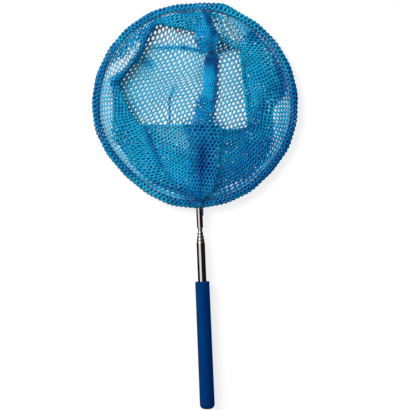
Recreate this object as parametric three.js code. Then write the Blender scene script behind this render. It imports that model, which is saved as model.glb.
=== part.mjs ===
// An insect net: a telescopic handle of five chromed tubes, a round wire hoop and a net bag.
// It lies on the ground with the mouth of the bag up. Units are millimetres and +Z is up.
// The handle runs along +Y towards the hoop, and the origin is on the ground under the middle.
import * as THREE from 'three';

// Grip, measured along the handle from its butt end
const gripLength = 126.3;
const gripTopRadius = 7.1;
const gripButtRadius = 7.4;
const gripEndRound = 3.4;
const gripTopRound = 0.8;
const gripEndWall = 6;

// Telescopic tubes, numbered from the one in the grip
const tubeCount = 5;
const tubeDiameter = 8.4;
const tubeWall = 0.2;
const tubeRoom = 0.28;
const tubeMouth = 165.3;
const mouthStep = 3.4;
const neckShown = 3.6;
const lipLength = 1.6;
const lipTaper = 1;
const beadLength = 1.6;
const beadHeight = 0.15;

// Plugs in the lower ends of the tubes, and the leaf springs beside them
const flangeLength = 1.5;
const spigotLength = 5.2;
const plugApart = 0.2;
const leafLength = 22.5;
const leafThickness = 0.12;
const leafBow = 0.05;
const leafAngle = 100;

// Socket that joins the thinnest tube to the hoop
const socketDiameter = 6.2;
const socketLength = 19.7;
const socketChamfer = 0.4;
const tubeInSocket = 8;

// Hoop of round wire, with two legs in the socket
const hoopRadius = 98.2;
const wireDiameter = 2.6;
const legSpacing = 2.8;
const legShown = 0.44;
const legBend = 4;
const legAboveTube = 0.9;

// Places where the hoop is pressed flatter: where, how deep, and how far to each side
const hoopFlats = [
  { at: 223, depth: 3.6, spread: 38 },
  { at: 316, depth: 1.2, spread: 20 },
  { at: 93, depth: 1, spread: 18 },
];

// Net: the hem round the wire, and the side of the bag, which is folded twice inside the hoop
const netThickness = 1.2;
const hemWidth = 8;
const hemHeight = 4.8;
const hemThickness = 0.7;
const hemGap = 7;
const sideRise = 1.6;
const foldHeight = 3.6;
const shortestFold = 6;
const sideInset = 0.8;
const threadDiameter = 0.8;

// Openings through the bottom: a plain grid of six-sided ones stands for the net's many small ones
const openingWidth = 9.1;
const openingPitch = 14.4;
const openingBorder = 6;

// Corners of the inner fold and of the outer fold, seen from above, from the middle of the hoop.
// They and the seam's places are for a hoop of 98.2 mm radius, and foldScale fits them to others.
const innerFold = [
  [1.7, -19.6], [17.3, -20.3], [30.9, -26.6], [51.1, -23.9], [48.7, 14.9], [46.3, 52.7],
  [16.3, 68.8], [-10.3, 75.8], [-34.7, 82.2], [-45.4, 65.3], [-51.4, 50.7], [-75.4, 24.4],
  [-65.6, -0.8], [-55.8, -17.3],
];
const outerFold = [
  [0, -93.2], [47, -74.4], [67.6, -57.3], [76.3, -36.9], [77.7, -6.1], [87.9, 3.4], [98, 30],
  [60, 85], [0, 105], [-37.6, 84.9], [-48.8, 67.4], [-65.7, 41.4], [-84.6, 30.3],
  [-81.6, 16.3], [-83.5, -29.2], [-63.4, -57.9], [-45.2, -75.5],
];

// Seam down the middle of the bag: places from the middle of the hoop, and the width there
const seamStations = [
  { x: 14.5, y: 96.5, width: 27 },
  { x: 17.4, y: 72, width: 18 },
  { x: 18.6, y: 51.3, width: 15 },
  { x: 16.7, y: 29.3, width: 15 },
  { x: 13.3, y: 4.5, width: 18 },
  { x: 8.7, y: -20.4, width: 18.5 },
  { x: 6.6, y: -45.3, width: 17 },
  { x: 2, y: -96.2, width: 14 },
];
const seamThickness = 2;
const seamDrop = 12;
const seamClear = 3;

// Clearances: between pieces that turn or slide, and between pieces that touch
const slideClear = 0.08;
const seatClear = 0.3;

// Fineness of the round shapes
const handleSides = 24;
const gripSides = 32;
const cornerSteps = 4;
const wireSides = 8;
const hemSides = 10;
const hoopSteps = 60;
const bendSteps = 5;
const leafSteps = 4;
const seamSteps = 30;
const seamColumns = 4;

const chrome = { color: 0xc9c7c6, roughness: 0.12, metalness: 1 };
const blueFoam = { color: 0x0a4c96, roughness: 0.7, metalness: 0 };
const blackPlastic = { color: 0x202124, roughness: 0.5, metalness: 0 };
const springBrass = { color: 0xb89a50, roughness: 0.35, metalness: 1 };
const blueNet = { color: 0x1790c4, roughness: 0.8, metalness: 0 };
const seamNet = { color: 0x0a62a8, roughness: 0.8, metalness: 0 };
const blueThread = { color: 0x0d4f94, roughness: 0.7, metalness: 0 };

const radians = THREE.MathUtils.degToRad;
const degrees = THREE.MathUtils.radToDeg;

// Heights above the ground, and places along the handle
const axisHeight = gripButtRadius;
const plugPitch = flangeLength + spigotLength + seatClear + plugApart + seatClear;
const firstTail = gripEndWall + seatClear + flangeLength + seatClear;
const socketStart = tubeMouth + (tubeCount - 2) * mouthStep + neckShown;
const socketEnd = socketStart + socketLength;
const legOffset = legSpacing / 2;
const legTop = socketEnd + legShown;
const bendReach = legOffset + legBend;
const hoopCentre = legTop + Math.sqrt((hoopRadius + legBend) ** 2 - bendReach ** 2);
const foldScale = hoopRadius / 98.2;
const fullLength = hoopCentre + hoopRadiusAt(90) + hemWidth / 2;

function tubeRadius(number) {
  return tubeDiameter / 2 - (number - 1) * (tubeWall + tubeRoom);
}

function tubeBore(number) {
  return tubeRadius(number) - tubeWall;
}

function tubeTail(number) {
  return firstTail + (number - 1) * plugPitch;
}

function tubeEnd(number) {
  return number < tubeCount ? tubeMouth + (number - 1) * mouthStep : socketStart + tubeInSocket;
}

// Radius of the hoop's centre line at an angle in degrees, counted from +X towards +Y.
function hoopRadiusAt(angle) {
  let radius = hoopRadius;
  for (const flat of hoopFlats) {
    const away = Math.abs(THREE.MathUtils.euclideanModulo(angle - flat.at + 180, 360) - 180);
    if (away < flat.spread) {
      radius -= (flat.depth / 2) * (1 + Math.cos((Math.PI * away) / flat.spread));
    }
  }
  return radius;
}

function polar(radius, angle, z) {
  const turn = radians(angle);
  return new THREE.Vector3(radius * Math.cos(turn), radius * Math.sin(turn), z);
}

// How far out a ray from the middle of the hoop meets an outline of straight sides.
function reachOf(corners, angle) {
  const ray = polar(1, angle, 0);
  let reach = 0;
  corners.forEach(([x1, y1], index) => {
    const [x2, y2] = corners[(index + 1) % corners.length];
    const across = ray.x * (y2 - y1) - ray.y * (x2 - x1);
    if (Math.abs(across) < 1e-9) {
      return;
    }
    const distance = (x1 * (y2 - y1) - y1 * (x2 - x1)) / across;
    const along = (ray.y * x1 - ray.x * y1) / across;
    if (distance > 0 && along >= 0 && along <= 1) {
      reach = Math.max(reach, distance);
    }
  });
  return reach * foldScale;
}

function hemInside(angle) {
  return hoopRadiusAt(angle) - hemWidth / 2;
}

// Radius of the fold where the side turns back outwards, and of the one where it meets the bottom.
function innerFoldAt(angle) {
  return Math.min(reachOf(innerFold, angle), hemInside(angle) - shortestFold - sideInset);
}

function outerFoldAt(angle) {
  const reach = Math.min(reachOf(outerFold, angle), hemInside(angle) - sideInset);
  return Math.max(reach, innerFoldAt(angle) + shortestFold);
}

// A solid turned round the handle's axis, from points given as radius and place along the handle.
function turned(profile, sides) {
  const points = profile.map(([radius, along]) => new THREE.Vector2(radius, along));
  return new THREE.LatheGeometry(points, sides);
}

// A path of several stretches, each walked in its own number of equal steps.
class SteppedPath extends THREE.Curve {
  constructor(stretches) {
    super();
    this.stretches = stretches;
    this.steps = stretches.reduce((sum, stretch) => sum + stretch.steps, 0);
  }

  getPoint(t) {
    let place = t * this.steps;
    for (const stretch of this.stretches) {
      if (place <= stretch.steps) {
        return stretch.at(place / stretch.steps);
      }
      place -= stretch.steps;
    }
    return this.stretches.at(-1).at(1);
  }

  getUtoTmapping(u) {
    return u;
  }
}

function swept(shape, path, curveSegments) {
  const settings = { steps: path.steps, curveSegments, bevelEnabled: false, extrudePath: path };
  return new THREE.ExtrudeGeometry(shape, settings);
}

// A closed shell between two grids of points, one on each side of it. The rows are joined into
// a ring when it wraps, and are closed with end walls when it doesn't.
function shell(under, over, wraps) {
  const rows = under.length;
  const columns = under[0].length;
  const points = [...under.flat(), ...over.flat()];
  const lower = (row, column) => (row % rows) * columns + column;
  const upper = (row, column) => rows * columns + lower(row, column);
  const index = [];
  const quad = (a, b, c, d) => index.push(a, b, c, a, c, d);
  for (let row = 0; row < (wraps ? rows : rows - 1); row += 1) {
    for (let column = 0; column < columns - 1; column += 1) {
      quad(upper(row, column), upper(row + 1, column), upper(row + 1, column + 1), upper(row, column + 1));
      quad(lower(row, column), lower(row, column + 1), lower(row + 1, column + 1), lower(row + 1, column));
    }
    const last = columns - 1;
    quad(lower(row, 0), lower(row + 1, 0), upper(row + 1, 0), upper(row, 0));
    quad(upper(row, last), upper(row + 1, last), lower(row + 1, last), lower(row, last));
  }
  if (!wraps) {
    const end = rows - 1;
    for (let column = 0; column < columns - 1; column += 1) {
      quad(lower(0, column), upper(0, column), upper(0, column + 1), lower(0, column + 1));
      quad(lower(end, column + 1), upper(end, column + 1), upper(end, column), lower(end, column));
    }
  }
  const geometry = new THREE.BufferGeometry().setFromPoints(points);
  geometry.setIndex(index);
  geometry.computeVertexNormals();
  return geometry;
}

function piece(name, geometry, finish) {
  const mesh = new THREE.Mesh(geometry, new THREE.MeshStandardMaterial(finish));
  mesh.name = name;
  return mesh;
}

// Quarter round from one radius and place to the next, as points of a turned profile.
function cornerRound(radius, along, size, from) {
  return Array.from({ length: cornerSteps + 1 }, (_, step) => {
    const turn = radians(from + (90 * step) / cornerSteps);
    return [radius + size * Math.cos(turn), along + size * Math.sin(turn)];
  });
}

function gripGeometry() {
  const bore = tubeRadius(1) + slideClear;
  return turned([
    [0, 0],
    ...cornerRound(gripButtRadius - gripEndRound, gripEndRound, gripEndRound, -90),
    ...cornerRound(gripTopRadius - gripTopRound, gripLength - gripTopRound, gripTopRound, 0),
    [bore, gripLength],
    [bore, gripEndWall],
    [0, gripEndWall],
  ], gripSides);
}

// A tube whose mouth is rolled in onto the next tube, with a bead above its leaf springs.
function tubeGeometry(number) {
  const outside = tubeRadius(number);
  const inside = tubeBore(number);
  const tail = tubeTail(number);
  const end = tubeEnd(number);
  const profile = [[inside, tail], [outside, tail]];
  if (number > 1) {
    const bead = beadStart(number);
    profile.push(
      [outside, bead],
      [outside + beadHeight, bead + beadLength / 3],
      [outside + beadHeight, bead + (beadLength * 2) / 3],
      [outside, bead + beadLength],
    );
  }
  if (number < tubeCount) {
    const lip = tubeRadius(number + 1) + slideClear;
    profile.push(
      [outside, end - lipTaper],
      [lip + tubeWall, end],
      [lip, end],
      [lip, end - lipLength + tubeWall],
      [inside, end - lipLength],
    );
  } else {
    profile.push([outside, end], [inside, end]);
  }
  profile.push([inside, tail]);
  return turned(profile, handleSides);
}

function beadStart(number) {
  return tubeTail(number) + seatClear + leafLength + seatClear;
}

// A plug with a spigot in the tube's lower end and a flange below it.
function plugGeometry(number, flange) {
  const spigot = tubeBore(number) - slideClear;
  const seat = tubeTail(number) - seatClear;
  return turned([
    [0, seat - flangeLength],
    [flange, seat - flangeLength],
    [flange, seat],
    [spigot, seat],
    [spigot, seat + seatClear + spigotLength],
    [0, seat + seatClear + spigotLength],
  ], handleSides);
}

// A bowed leaf round part of the tube, centred on an angle.
function leafGeometry(number, centre) {
  const start = tubeTail(number) + seatClear;
  const grid = (offset) => Array.from({ length: leafSteps + 1 }, (_, row) => {
    const bow = leafBow * Math.sin((Math.PI * row) / leafSteps);
    const radius = tubeRadius(number) + slideClear + bow + offset;
    return Array.from({ length: leafSteps + 1 }, (_, column) => {
      const turn = radians(centre + leafAngle * (column / leafSteps - 0.5));
      const along = start + (leafLength * row) / leafSteps;
      return new THREE.Vector3(radius * Math.sin(turn), along, -radius * Math.cos(turn));
    });
  });
  return shell(grid(0), grid(leafThickness), false);
}

// The socket is bored narrow for the thinnest tube and wider for the two legs of the hoop.
function socketGeometry() {
  const outside = socketDiameter / 2;
  const tubeHole = tubeRadius(tubeCount) + slideClear;
  const legHole = legOffset + wireDiameter / 2 + slideClear;
  const step = socketStart + tubeInSocket + seatClear;
  return turned([
    [tubeHole, socketStart],
    [outside - socketChamfer, socketStart],
    [outside, socketStart + socketChamfer],
    [outside, socketEnd - socketChamfer],
    [outside - socketChamfer / 2, socketEnd],
    [legHole, socketEnd],
    [legHole, step],
    [tubeHole, step],
    [tubeHole, socketStart],
  ], handleSides);
}

// Wire: up one leg, round a small bend onto the hoop, once round, and down the other leg.
function wireGeometry() {
  const legStart = socketStart + tubeInSocket + legAboveTube - hoopCentre;
  const bendPlace = legTop - hoopCentre;
  const meets = degrees(Math.asin(bendReach / (hoopRadius + legBend)));
  const leg = (side, from, to) => (t) => {
    return new THREE.Vector3(side * legOffset, from + (to - from) * t, 0);
  };
  const bend = (side, outwards) => (t) => {
    const turn = radians((90 - meets) * (outwards ? t : 1 - t));
    const x = bendReach - legBend * Math.cos(turn);
    return new THREE.Vector3(side * x, bendPlace + legBend * Math.sin(turn), 0);
  };
  const ring = (t) => {
    const angle = -90 + meets + (360 - 2 * meets) * t;
    return polar(hoopRadiusAt(angle), angle, 0);
  };
  const path = new SteppedPath([
    { steps: 1, at: leg(1, legStart, bendPlace) },
    { steps: bendSteps, at: bend(1, true) },
    { steps: hoopSteps, at: ring },
    { steps: bendSteps, at: bend(-1, false) },
    { steps: 1, at: leg(-1, bendPlace, legStart) },
  ]);
  const round = new THREE.Shape().absarc(0, 0, wireDiameter / 2, 0, 2 * Math.PI);
  return swept(round, path, wireSides / 2);
}

// Path round the hoop, open for the two legs, at a distance inside the wire.
function openRing(inset) {
  const gap = degrees(hemGap / 2 / hoopRadius);
  const at = (t) => {
    const angle = -90 + gap + (360 - 2 * gap) * t;
    return polar(hoopRadiusAt(angle) - inset, angle, 0);
  };
  return new SteppedPath([{ steps: hoopSteps, at }]);
}

function hemGeometry() {
  const section = new THREE.Shape().absellipse(0, 0, hemHeight / 2, hemWidth / 2, 0, 2 * Math.PI);
  const hollow = new THREE.Path();
  hollow.absellipse(0, 0, hemHeight / 2 - hemThickness, hemWidth / 2 - hemThickness, 0, 2 * Math.PI);
  section.holes.push(hollow);
  return swept(section, openRing(0), hemSides / 2);
}

function threadGeometry() {
  const round = new THREE.Shape().absarc(0, 0, threadDiameter / 2, 0, 2 * Math.PI);
  return swept(round, openRing(hemWidth / 2 + seatClear / 2), wireSides / 2);
}

// Middle of the side's net at one angle, from the hem in to one fold and out to the other.
function sideProfile(angle) {
  const start = hemInside(angle) - seatClear;
  const inner = innerFoldAt(angle);
  const outer = outerFoldAt(angle);
  const top = axisHeight + sideRise;
  const bend = foldHeight / 2;
  const low = netThickness * 1.5 + seatClear;
  const points = [[start, axisHeight], [start - (start - inner) / 4, top]];
  for (let step = 0; step <= cornerSteps; step += 1) {
    const turn = radians(90 + (180 * step) / cornerSteps);
    points.push([inner + bend + bend * Math.cos(turn), top - bend + bend * Math.sin(turn)]);
  }
  points.push([outer - (outer - inner - bend) / 3, low + netThickness / 2]);
  points.push([outer, low]);
  return points.map(([radius, z]) => new THREE.Vector2(radius, z));
}

// One edge of the profile, moved sideways by a distance.
function beside(profile, distance) {
  return profile.map((point, index) => {
    const before = profile[Math.max(index - 1, 0)];
    const after = profile[Math.min(index + 1, profile.length - 1)];
    const along = after.clone().sub(before).normalize();
    return new THREE.Vector2(point.x + along.y * distance, point.y - along.x * distance);
  });
}

function sideGeometry() {
  const grid = (distance) => Array.from({ length: hoopSteps }, (_, row) => {
    const angle = (360 * row) / hoopSteps;
    return beside(sideProfile(angle), distance).map((point) => polar(point.x, angle, point.y));
  });
  return shell(grid(-netThickness / 2), grid(netThickness / 2), true);
}

// Six-sided openings in staggered rows, as far out as the border inside the outer fold.
function bottomOpenings() {
  const rowPitch = (openingPitch * Math.sqrt(3)) / 2;
  const rows = Math.ceil(hoopRadius / rowPitch);
  const columns = Math.ceil(hoopRadius / openingPitch);
  const openings = [];
  for (let row = -rows; row <= rows; row += 1) {
    const shift = row % 2 === 0 ? 0 : openingPitch / 2;
    for (let column = -columns; column <= columns; column += 1) {
      const middle = new THREE.Vector2(column * openingPitch + shift, row * rowPitch);
      const corners = Array.from({ length: 6 }, (_, corner) => {
        const turn = radians(30 + 60 * corner);
        const reach = openingWidth / Math.sqrt(3);
        return new THREE.Vector2(reach * Math.cos(turn), reach * Math.sin(turn)).add(middle);
      });
      const inside = corners.every((corner) => {
        return corner.length() + openingBorder < outerFoldAt(degrees(corner.angle()));
      });
      if (inside) {
        openings.push(new THREE.Path(corners));
      }
    }
  }
  return openings;
}

function bottomGeometry() {
  const outline = new THREE.Shape();
  for (let step = 0; step < hoopSteps; step += 1) {
    const angle = (360 * step) / hoopSteps;
    const place = polar(outerFoldAt(angle), angle, 0);
    if (step === 0) {
      outline.moveTo(place.x, place.y);
    } else {
      outline.lineTo(place.x, place.y);
    }
  }
  outline.holes = bottomOpenings();
  return new THREE.ExtrudeGeometry(outline, { depth: netThickness, bevelEnabled: false });
}

// Height of the seam's underside: it lies on the side and the hem, and drops onto the bottom.
function seamHeight(x, y) {
  const inside = innerFoldAt(degrees(Math.atan2(y, x))) - Math.hypot(x, y);
  const high = axisHeight + Math.max(hemHeight / 2, sideRise + netThickness / 2) + seatClear;
  const low = netThickness + seatClear;
  const drop = THREE.MathUtils.smoothstep(inside, seamClear, seamClear + seamDrop);
  return THREE.MathUtils.lerp(high, low, drop);
}

function seamGeometry() {
  const places = seamStations.map(({ x, y, width }) => {
    return new THREE.Vector3(x * foldScale, y * foldScale, width);
  });
  const line = new THREE.CatmullRomCurve3(places);
  const grid = (lift) => Array.from({ length: seamSteps + 1 }, (_, row) => {
    const place = line.getPoint(row / seamSteps);
    const along = line.getTangent(row / seamSteps);
    const across = new THREE.Vector2(-along.y, along.x).normalize();
    return Array.from({ length: seamColumns + 1 }, (_, column) => {
      const side = place.z * (column / seamColumns - 0.5);
      const x = place.x + across.x * side;
      const y = place.y + across.y * side;
      return new THREE.Vector3(x, y, seamHeight(x, y) + lift);
    });
  });
  return shell(grid(0), grid(seamThickness), false);
}

function handle() {
  const group = new THREE.Group();
  group.position.set(0, -fullLength / 2, axisHeight);
  group.add(piece('grip', gripGeometry(), blueFoam));
  group.add(piece('tail_plug', plugGeometry(1, tubeRadius(1)), blackPlastic));
  group.add(piece('tube_1', tubeGeometry(1), chrome));
  for (let number = 2; number <= tubeCount; number += 1) {
    const flange = tubeBore(number - 1) - slideClear - leafBow;
    group.add(piece(`tube_${number}`, tubeGeometry(number), chrome));
    group.add(piece(`tail_bush_${number}`, plugGeometry(number, flange), blackPlastic));
    group.add(piece(`friction_leaf_${number}_a`, leafGeometry(number, 90), springBrass));
    group.add(piece(`friction_leaf_${number}_b`, leafGeometry(number, -90), springBrass));
  }
  group.add(piece('hoop_socket', socketGeometry(), chrome));
  return group;
}

function hoop() {
  const group = new THREE.Group();
  group.position.set(0, hoopCentre - fullLength / 2, axisHeight);
  group.add(piece('hoop_wire', wireGeometry(), chrome));
  group.add(piece('net_hem', hemGeometry(), blueNet));
  const thread = piece('hem_thread', threadGeometry(), blueThread);
  thread.position.z = netThickness / 2 + seatClear + threadDiameter / 2;
  group.add(thread);
  return group;
}

function bag() {
  const group = new THREE.Group();
  group.position.set(0, hoopCentre - fullLength / 2, 0);
  group.add(piece('net_side', sideGeometry(), blueNet));
  group.add(piece('net_bottom', bottomGeometry(), blueNet));
  group.add(piece('centre_seam', seamGeometry(), seamNet));
  return group;
}

const insectNet = new THREE.Group();
insectNet.add(handle(), hoop(), bag());

export default insectNet;
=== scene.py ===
"""Insect net: a knitted net bag on a wire hoop, with a telescopic handle and a foam grip.

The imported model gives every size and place. This script dresses it: turned and plated tubes,
a moulded foam grip, a bent wire hoop, and the net itself, cell by cell, in its real folds.
Sizes inside the functions are millimetres, and the meshes are made in metres.
"""

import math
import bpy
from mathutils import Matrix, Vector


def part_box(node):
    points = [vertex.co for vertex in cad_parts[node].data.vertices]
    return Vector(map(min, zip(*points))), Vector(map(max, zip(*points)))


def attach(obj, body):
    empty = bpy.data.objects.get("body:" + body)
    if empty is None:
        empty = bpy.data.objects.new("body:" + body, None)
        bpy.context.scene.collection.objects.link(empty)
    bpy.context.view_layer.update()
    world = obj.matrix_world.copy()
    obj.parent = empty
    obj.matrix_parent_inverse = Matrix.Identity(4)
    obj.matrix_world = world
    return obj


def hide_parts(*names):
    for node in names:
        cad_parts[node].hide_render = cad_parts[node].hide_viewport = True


bl_info = {
    "name": "Insect Net",
    "version": (1, 0, 0),
    "blender": (4, 5, 0),
    "location": "View3D > Sidebar > Insect Net",
    "description": "Builds a folded insect net with its telescopic handle",
    "category": "Add Mesh",
}

import bpy
import numpy as np

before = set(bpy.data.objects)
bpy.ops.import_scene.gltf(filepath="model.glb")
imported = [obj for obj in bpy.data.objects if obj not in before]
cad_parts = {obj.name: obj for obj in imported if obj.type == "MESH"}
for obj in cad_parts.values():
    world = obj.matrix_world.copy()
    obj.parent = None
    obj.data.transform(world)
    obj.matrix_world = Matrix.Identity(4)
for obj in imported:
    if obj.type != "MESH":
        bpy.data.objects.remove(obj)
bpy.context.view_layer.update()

MM = 0.001
BODIES = {
    "tube_1": "handle",
    "tube_2": "section_2",
    "tube_3": "section_3",
    "tube_4": "section_4",
    "tube_5": "net_head",
}

# Places taken from the frame, in millimetres
AXIS_HEIGHT = (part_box("tube_1")[0].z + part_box("tube_1")[1].z) / 2 / MM
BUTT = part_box("grip")[0].y / MM
SOCKET_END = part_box("hoop_socket")[1].y / MM

# Handle: room left between two pieces that hold each other, and the rise of a tube's bead
SNUG = 0.08
BEAD_RISE = 0.15

# Hoop: radius of the wire's middle, its two legs above the socket, and where it is pressed flatter.
# A flat has its angle, its depth, and how many degrees it reaches to each side.
HOOP_RADIUS = 98.2
LEG_SHOWN = 0.44
LEG_OFFSET = 1.4
LEG_BEND = 4.0
HOOP_FLATS = ((223, 3.6, 38), (316, 1.2, 20), (93, 1.0, 18))
BEND_REACH = LEG_OFFSET + LEG_BEND
HOOP_MIDDLE = SOCKET_END + LEG_SHOWN + math.sqrt((HOOP_RADIUS + LEG_BEND) ** 2 - BEND_REACH**2)
OVER_HOOP = (0, HOOP_MIDDLE, 0)

# Hem: half its width and height, its net of courses round the wire, where the first course starts
# in degrees from the outer edge, half of the gap for the legs in degrees, the cloth's thickness,
# and the number and height of its stitches
HEM_HALF = 4.0
HEM_HALF_HEIGHT = 2.4
HEM_COLUMNS = 142
HEM_ROWS = 6
HEM_COURSE = 2.9
HEM_CELL = 2 * math.pi * HOOP_RADIUS / HEM_COLUMNS
HEM_START = 78
HEM_GAP = math.degrees(3.5 / HOOP_RADIUS)
HEM_CLOTH = 0.85
STITCHES = 268
STITCH_HEIGHT = 9.35

# Bag: rise of the upper layer from the hem, radius of its turn at the inner fold, how far under it
# the lower layer lies, and the heights of the lower layer at its outer fold, of the bottom, and of
# the seam over the side and on the bottom
SIDE_RISE = 1.6
FOLD_ROUND = 1.8
LAYER_GAP = 1.25
UNDER_REST = 1.2
BOTTOM_REST = 0.55
SEAM_OVER_SIDE = 10.1
SEAM_ON_BOTTOM = 1.5

# Strands: the least share of a cell that stays open, and the most
LEAST_OPEN = 0.08
MOST_OPEN = 0.92

# Corners of the folds, seen from above, from the middle of the hoop
INNER_FOLD = (
    (1.7, -19.6), (17.3, -20.3), (30.9, -26.6), (51.1, -23.9), (48.7, 14.9), (46.3, 52.7),
    (16.3, 68.8), (-10.3, 75.8), (-34.7, 82.2), (-45.4, 65.3), (-51.4, 50.7), (-75.4, 24.4),
    (-65.6, -0.8), (-55.8, -17.3),
)
OUTER_FOLD = (
    (0, -93.2), (47, -74.4), (67.6, -57.3), (76.3, -36.9), (77.7, -6.1), (87.9, 3.4), (98, 30),
    (60, 85), (0, 105), (-37.6, 84.9), (-48.8, 67.4), (-65.7, 41.4), (-84.6, 30.3),
    (-81.6, 16.3), (-83.5, -29.2), (-63.4, -57.9), (-45.2, -75.5),
)
# Least depth of the folds, and how far the outer one stays inside the hem
SHORTEST_FOLD = 6.0
SIDE_INSET = 0.8

# Tuck of the lower layer under the hem at the top: how far in it comes at some angles, and how far
# under the upper layer it lies
TUCK_ANGLES = (60, 66, 105, 112, 124, 140, 152, 158)
TUCK_REACHES = (94, 89.5, 89.5, 91, 83.5, 80, 93, 95)
TUCK_GAP = 1.6

# Seam down the middle of the bag: x and y from the middle of the hoop, and the width there
SEAM_STATIONS = (
    (11.5, 95.5, 7), (15.5, 84.5, 8), (14.2, 75.5, 18), (14.0, 66.5, 26), (16.6, 58.2, 20),
    (18.6, 51.8, 8), (18.5, 47, 14), (17.3, 36, 14.5), (16, 20, 14.5), (14.5, 6, 15),
    (9.8, -2.5, 20), (8.2, -18, 19), (7.5, -30, 15), (6, -45, 14), (4, -70, 12), (0.5, -96.2, 8),
)

# Seam's three layers, lowest first: cell width, course, and how far it is shifted along the seam.
# Then the number of cells across it, and the cloth's thickness in its layers
SEAM_LAYERS = ((4.2, 3.4, 0.0), (4.0, 3.0, 1.3 / 3), (4.4, 3.2, 2.4 / 3))
SEAM_COLUMNS = 7
SEAM_CLOTH = 0.8

# Loose layer that covers the seam: columns, cell width, course, where along the seam it starts, and
# how wide it lies before it is drawn to the seam's width
COVER_COLUMNS = 8
COVER_CELL = 4.0
COVER_COURSE = 3.6
COVER_START = 96
COVER_WIDTH = 14

# Middle of the knot on the seam, and the radius of its thread
KNOT = (18.4, 51.6)
KNOT_THREAD = 0.4

# Puckers: x, y, angle, amount, reach, length, rise. A pucker draws the net together towards a line
# at x, y that lies square to its angle. Amount is the share drawn in, reach how far it goes to each
# side, length how far along the line, and rise how high the ridge stands. A negative amount pulls
# the net open.
BOTTOM_PUCKERS = (
    (-22, 27, 117, 0.34, 20, 22, 0.6), (6, 34, 12, 0.34, 8, 20, 0.3),
    (33, 22, 150, 0.24, 12, 12, 0.3), (34, -6, 100, -0.12, 10, 14, 0.0),
    (-8, -2, 90, 0.18, 12, 12, 0.2), (-24, 58.5, 92, 0.55, 3.0, 16, 1.0),
    (3, 56, 80, 0.55, 3.0, 12, 1.2), (33, 51.5, 100, 0.5, 3.0, 11, 1.0),
    (18.5, 50, 0, 0.5, 6, 9, 0.8), (18.5, 50, 90, 0.5, 5, 9, 0.8),
    (-25.4, -7, 2, 0.75, 1.5, 11, 1.0), (-22.5, 13, -32, 0.5, 2.0, 7, 0.6),
)
SIDE_PUCKERS = (
    (2, -97, 0, 0.62, 24, 26, 0.5), (5, -56, -6, 0.5, 5, 26, 0.8),
    (-49, -38, 23, 0.55, 2.6, 20, 1.2), (28, -48, 24, 0.5, 2.6, 10, 1.0),
    (47, -41, 17, 0.5, 2.6, 13, 1.0), (62, -5, 5, 0.5, 2.2, 17, 1.0),
    (70, 14, 84, 0.5, 1.8, 8, 0.8), (70, 57, 42, -0.5, 1.4, 14, 0.0),
    (73, 40, 14, -0.5, 1.4, 12, 0.0), (39, 74, 20, -0.45, 6, 13, 0.0),
    (26, 78, 20, -0.35, 4, 9, 0.0), (-52, 76, 135, 0.3, 3, 20, 0.8),
    (-70, 49, 135, -0.5, 4.5, 18, 0.0),
)

# Bunching and painted shade: lines where the cloth lies in more layers than one, and where painted
# shade darkens the net's colour, in folds, creases and towards the lower right. Each is a line from
# x, y to x, y, with how far it spreads and how much. Below zero the colour is painted paler, as if light
# came through, and its strands are thinner too where their width follows it.
SIDE_BUNCHING_AND_PAINTED_SHADE = (
    (-50, -21, -36, -59, 2.6, 0.7), (-36, -59, -20, -82, 3.0, 0.35), (7, -25, 8, -60, 8.0, 0.55),
    (8, -70, 20, -86, 16.0, 0.65), (-14, -84, 4, -92, 7.0, 0.5), (-24, -96, 30, -94, 3.2, 0.9),
    (78, 14, 56, -22, 6.0, 0.55), (60, -24, 30, -30, 6.0, 0.4), (40, -62, 76, -44, 18.0, 0.75),
    (24, -40, 50, -34, 9.0, 0.35), (-37, 84, -46, 67, 2.8, 0.8), (-46, 67, -53, 52, 2.8, 0.8),
    (-53, 52, -66, 34, 2.8, 0.8), (-66, 34, -78, 25, 3.4, 0.8), (-78, 25, -74, -5, 3.4, 0.4),
    (-30, 95, 12, 96, 3.5, 0.7), (28, 95, 38, 92, 3.0, 0.8), (92, 6, 84, 44, 4.5, 0.7),
    (88, 10, 85, -34, 7.0, 0.6), (26, -90, 60, -70, 5.5, 0.9), (-60, -70, -8, -92, 4.5, 0.8),
    (-30, -25, -4, -40, 9.0, -0.6), (66, 66, 76, 40, 6.0, -0.25), (60, 74, 78, 52, 3.5, 0.8),
    (78, 52, 91, 16, 3.5, 0.8), (-48, 78, -80, 46, 3.5, 0.5), (-56, 62, -84, 34, 4.5, -1.0),
    (34, 88, 45, 62, 4.5, -1.0), (48, 84, 60, 64, 6.0, 0.7), (25, 80, 28, 64, 2.0, -0.8),
)
BOTTOM_BUNCHING_AND_PAINTED_SHADE = (
    (-41, 59, -9, 58, 2.0, 1.1), (-9, 58, 11, 52.5, 2.4, 1.4), (26, 52, 46, 58, 2.4, 1.1),
    (22, 62, 33, 58, 4.5, 1.2), (-20, 19, -25, 8, 1.0, 1.5), (-25, 8, -26, -17, 1.0, 1.9),
    (-70, 24, -62, 0, 9.0, 0.45), (-50, 45, -66, 24, 6.0, 0.3), (-47, 46, -42, 42, 5.5, 0.9),
    (-24, 72, 4, 66, 9.0, -0.35), (24, 20, 42, 16, 20.0, -0.1), (36, 90, 43, 64, 5.0, -0.9),
)
# Painted shade on the hem, darkest along its right and lower right, the side away from the softbox
HEM_PAINTED_SHADE = (
    (70, 74, 97, 32, 3.0, 0.7), (97, 32, 101, -8, 4.4, 1.0), (101, -8, 91, -42, 6.0, 1.1),
    (91, -42, 62, -77, 6.0, 1.1), (62, -77, 22, -97, 5.0, 1.0), (22, -94, -24, -96, 3.0, 0.6),
    (-24, -94, -66, -64, 3.0, 0.6), (-72, 72, -28, 98, 3.0, 0.7), (-28, 98, 30, 99, 4.0, 0.5),
    (-8, -97, 8, -97, 4.0, 0.8), (-99, 20, -96, -26, 3.6, 0.9), (-96, -26, -72, -62, 3.6, 0.7),
    (-98, 22, -78, 62, 3.4, 0.8),
)
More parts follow.
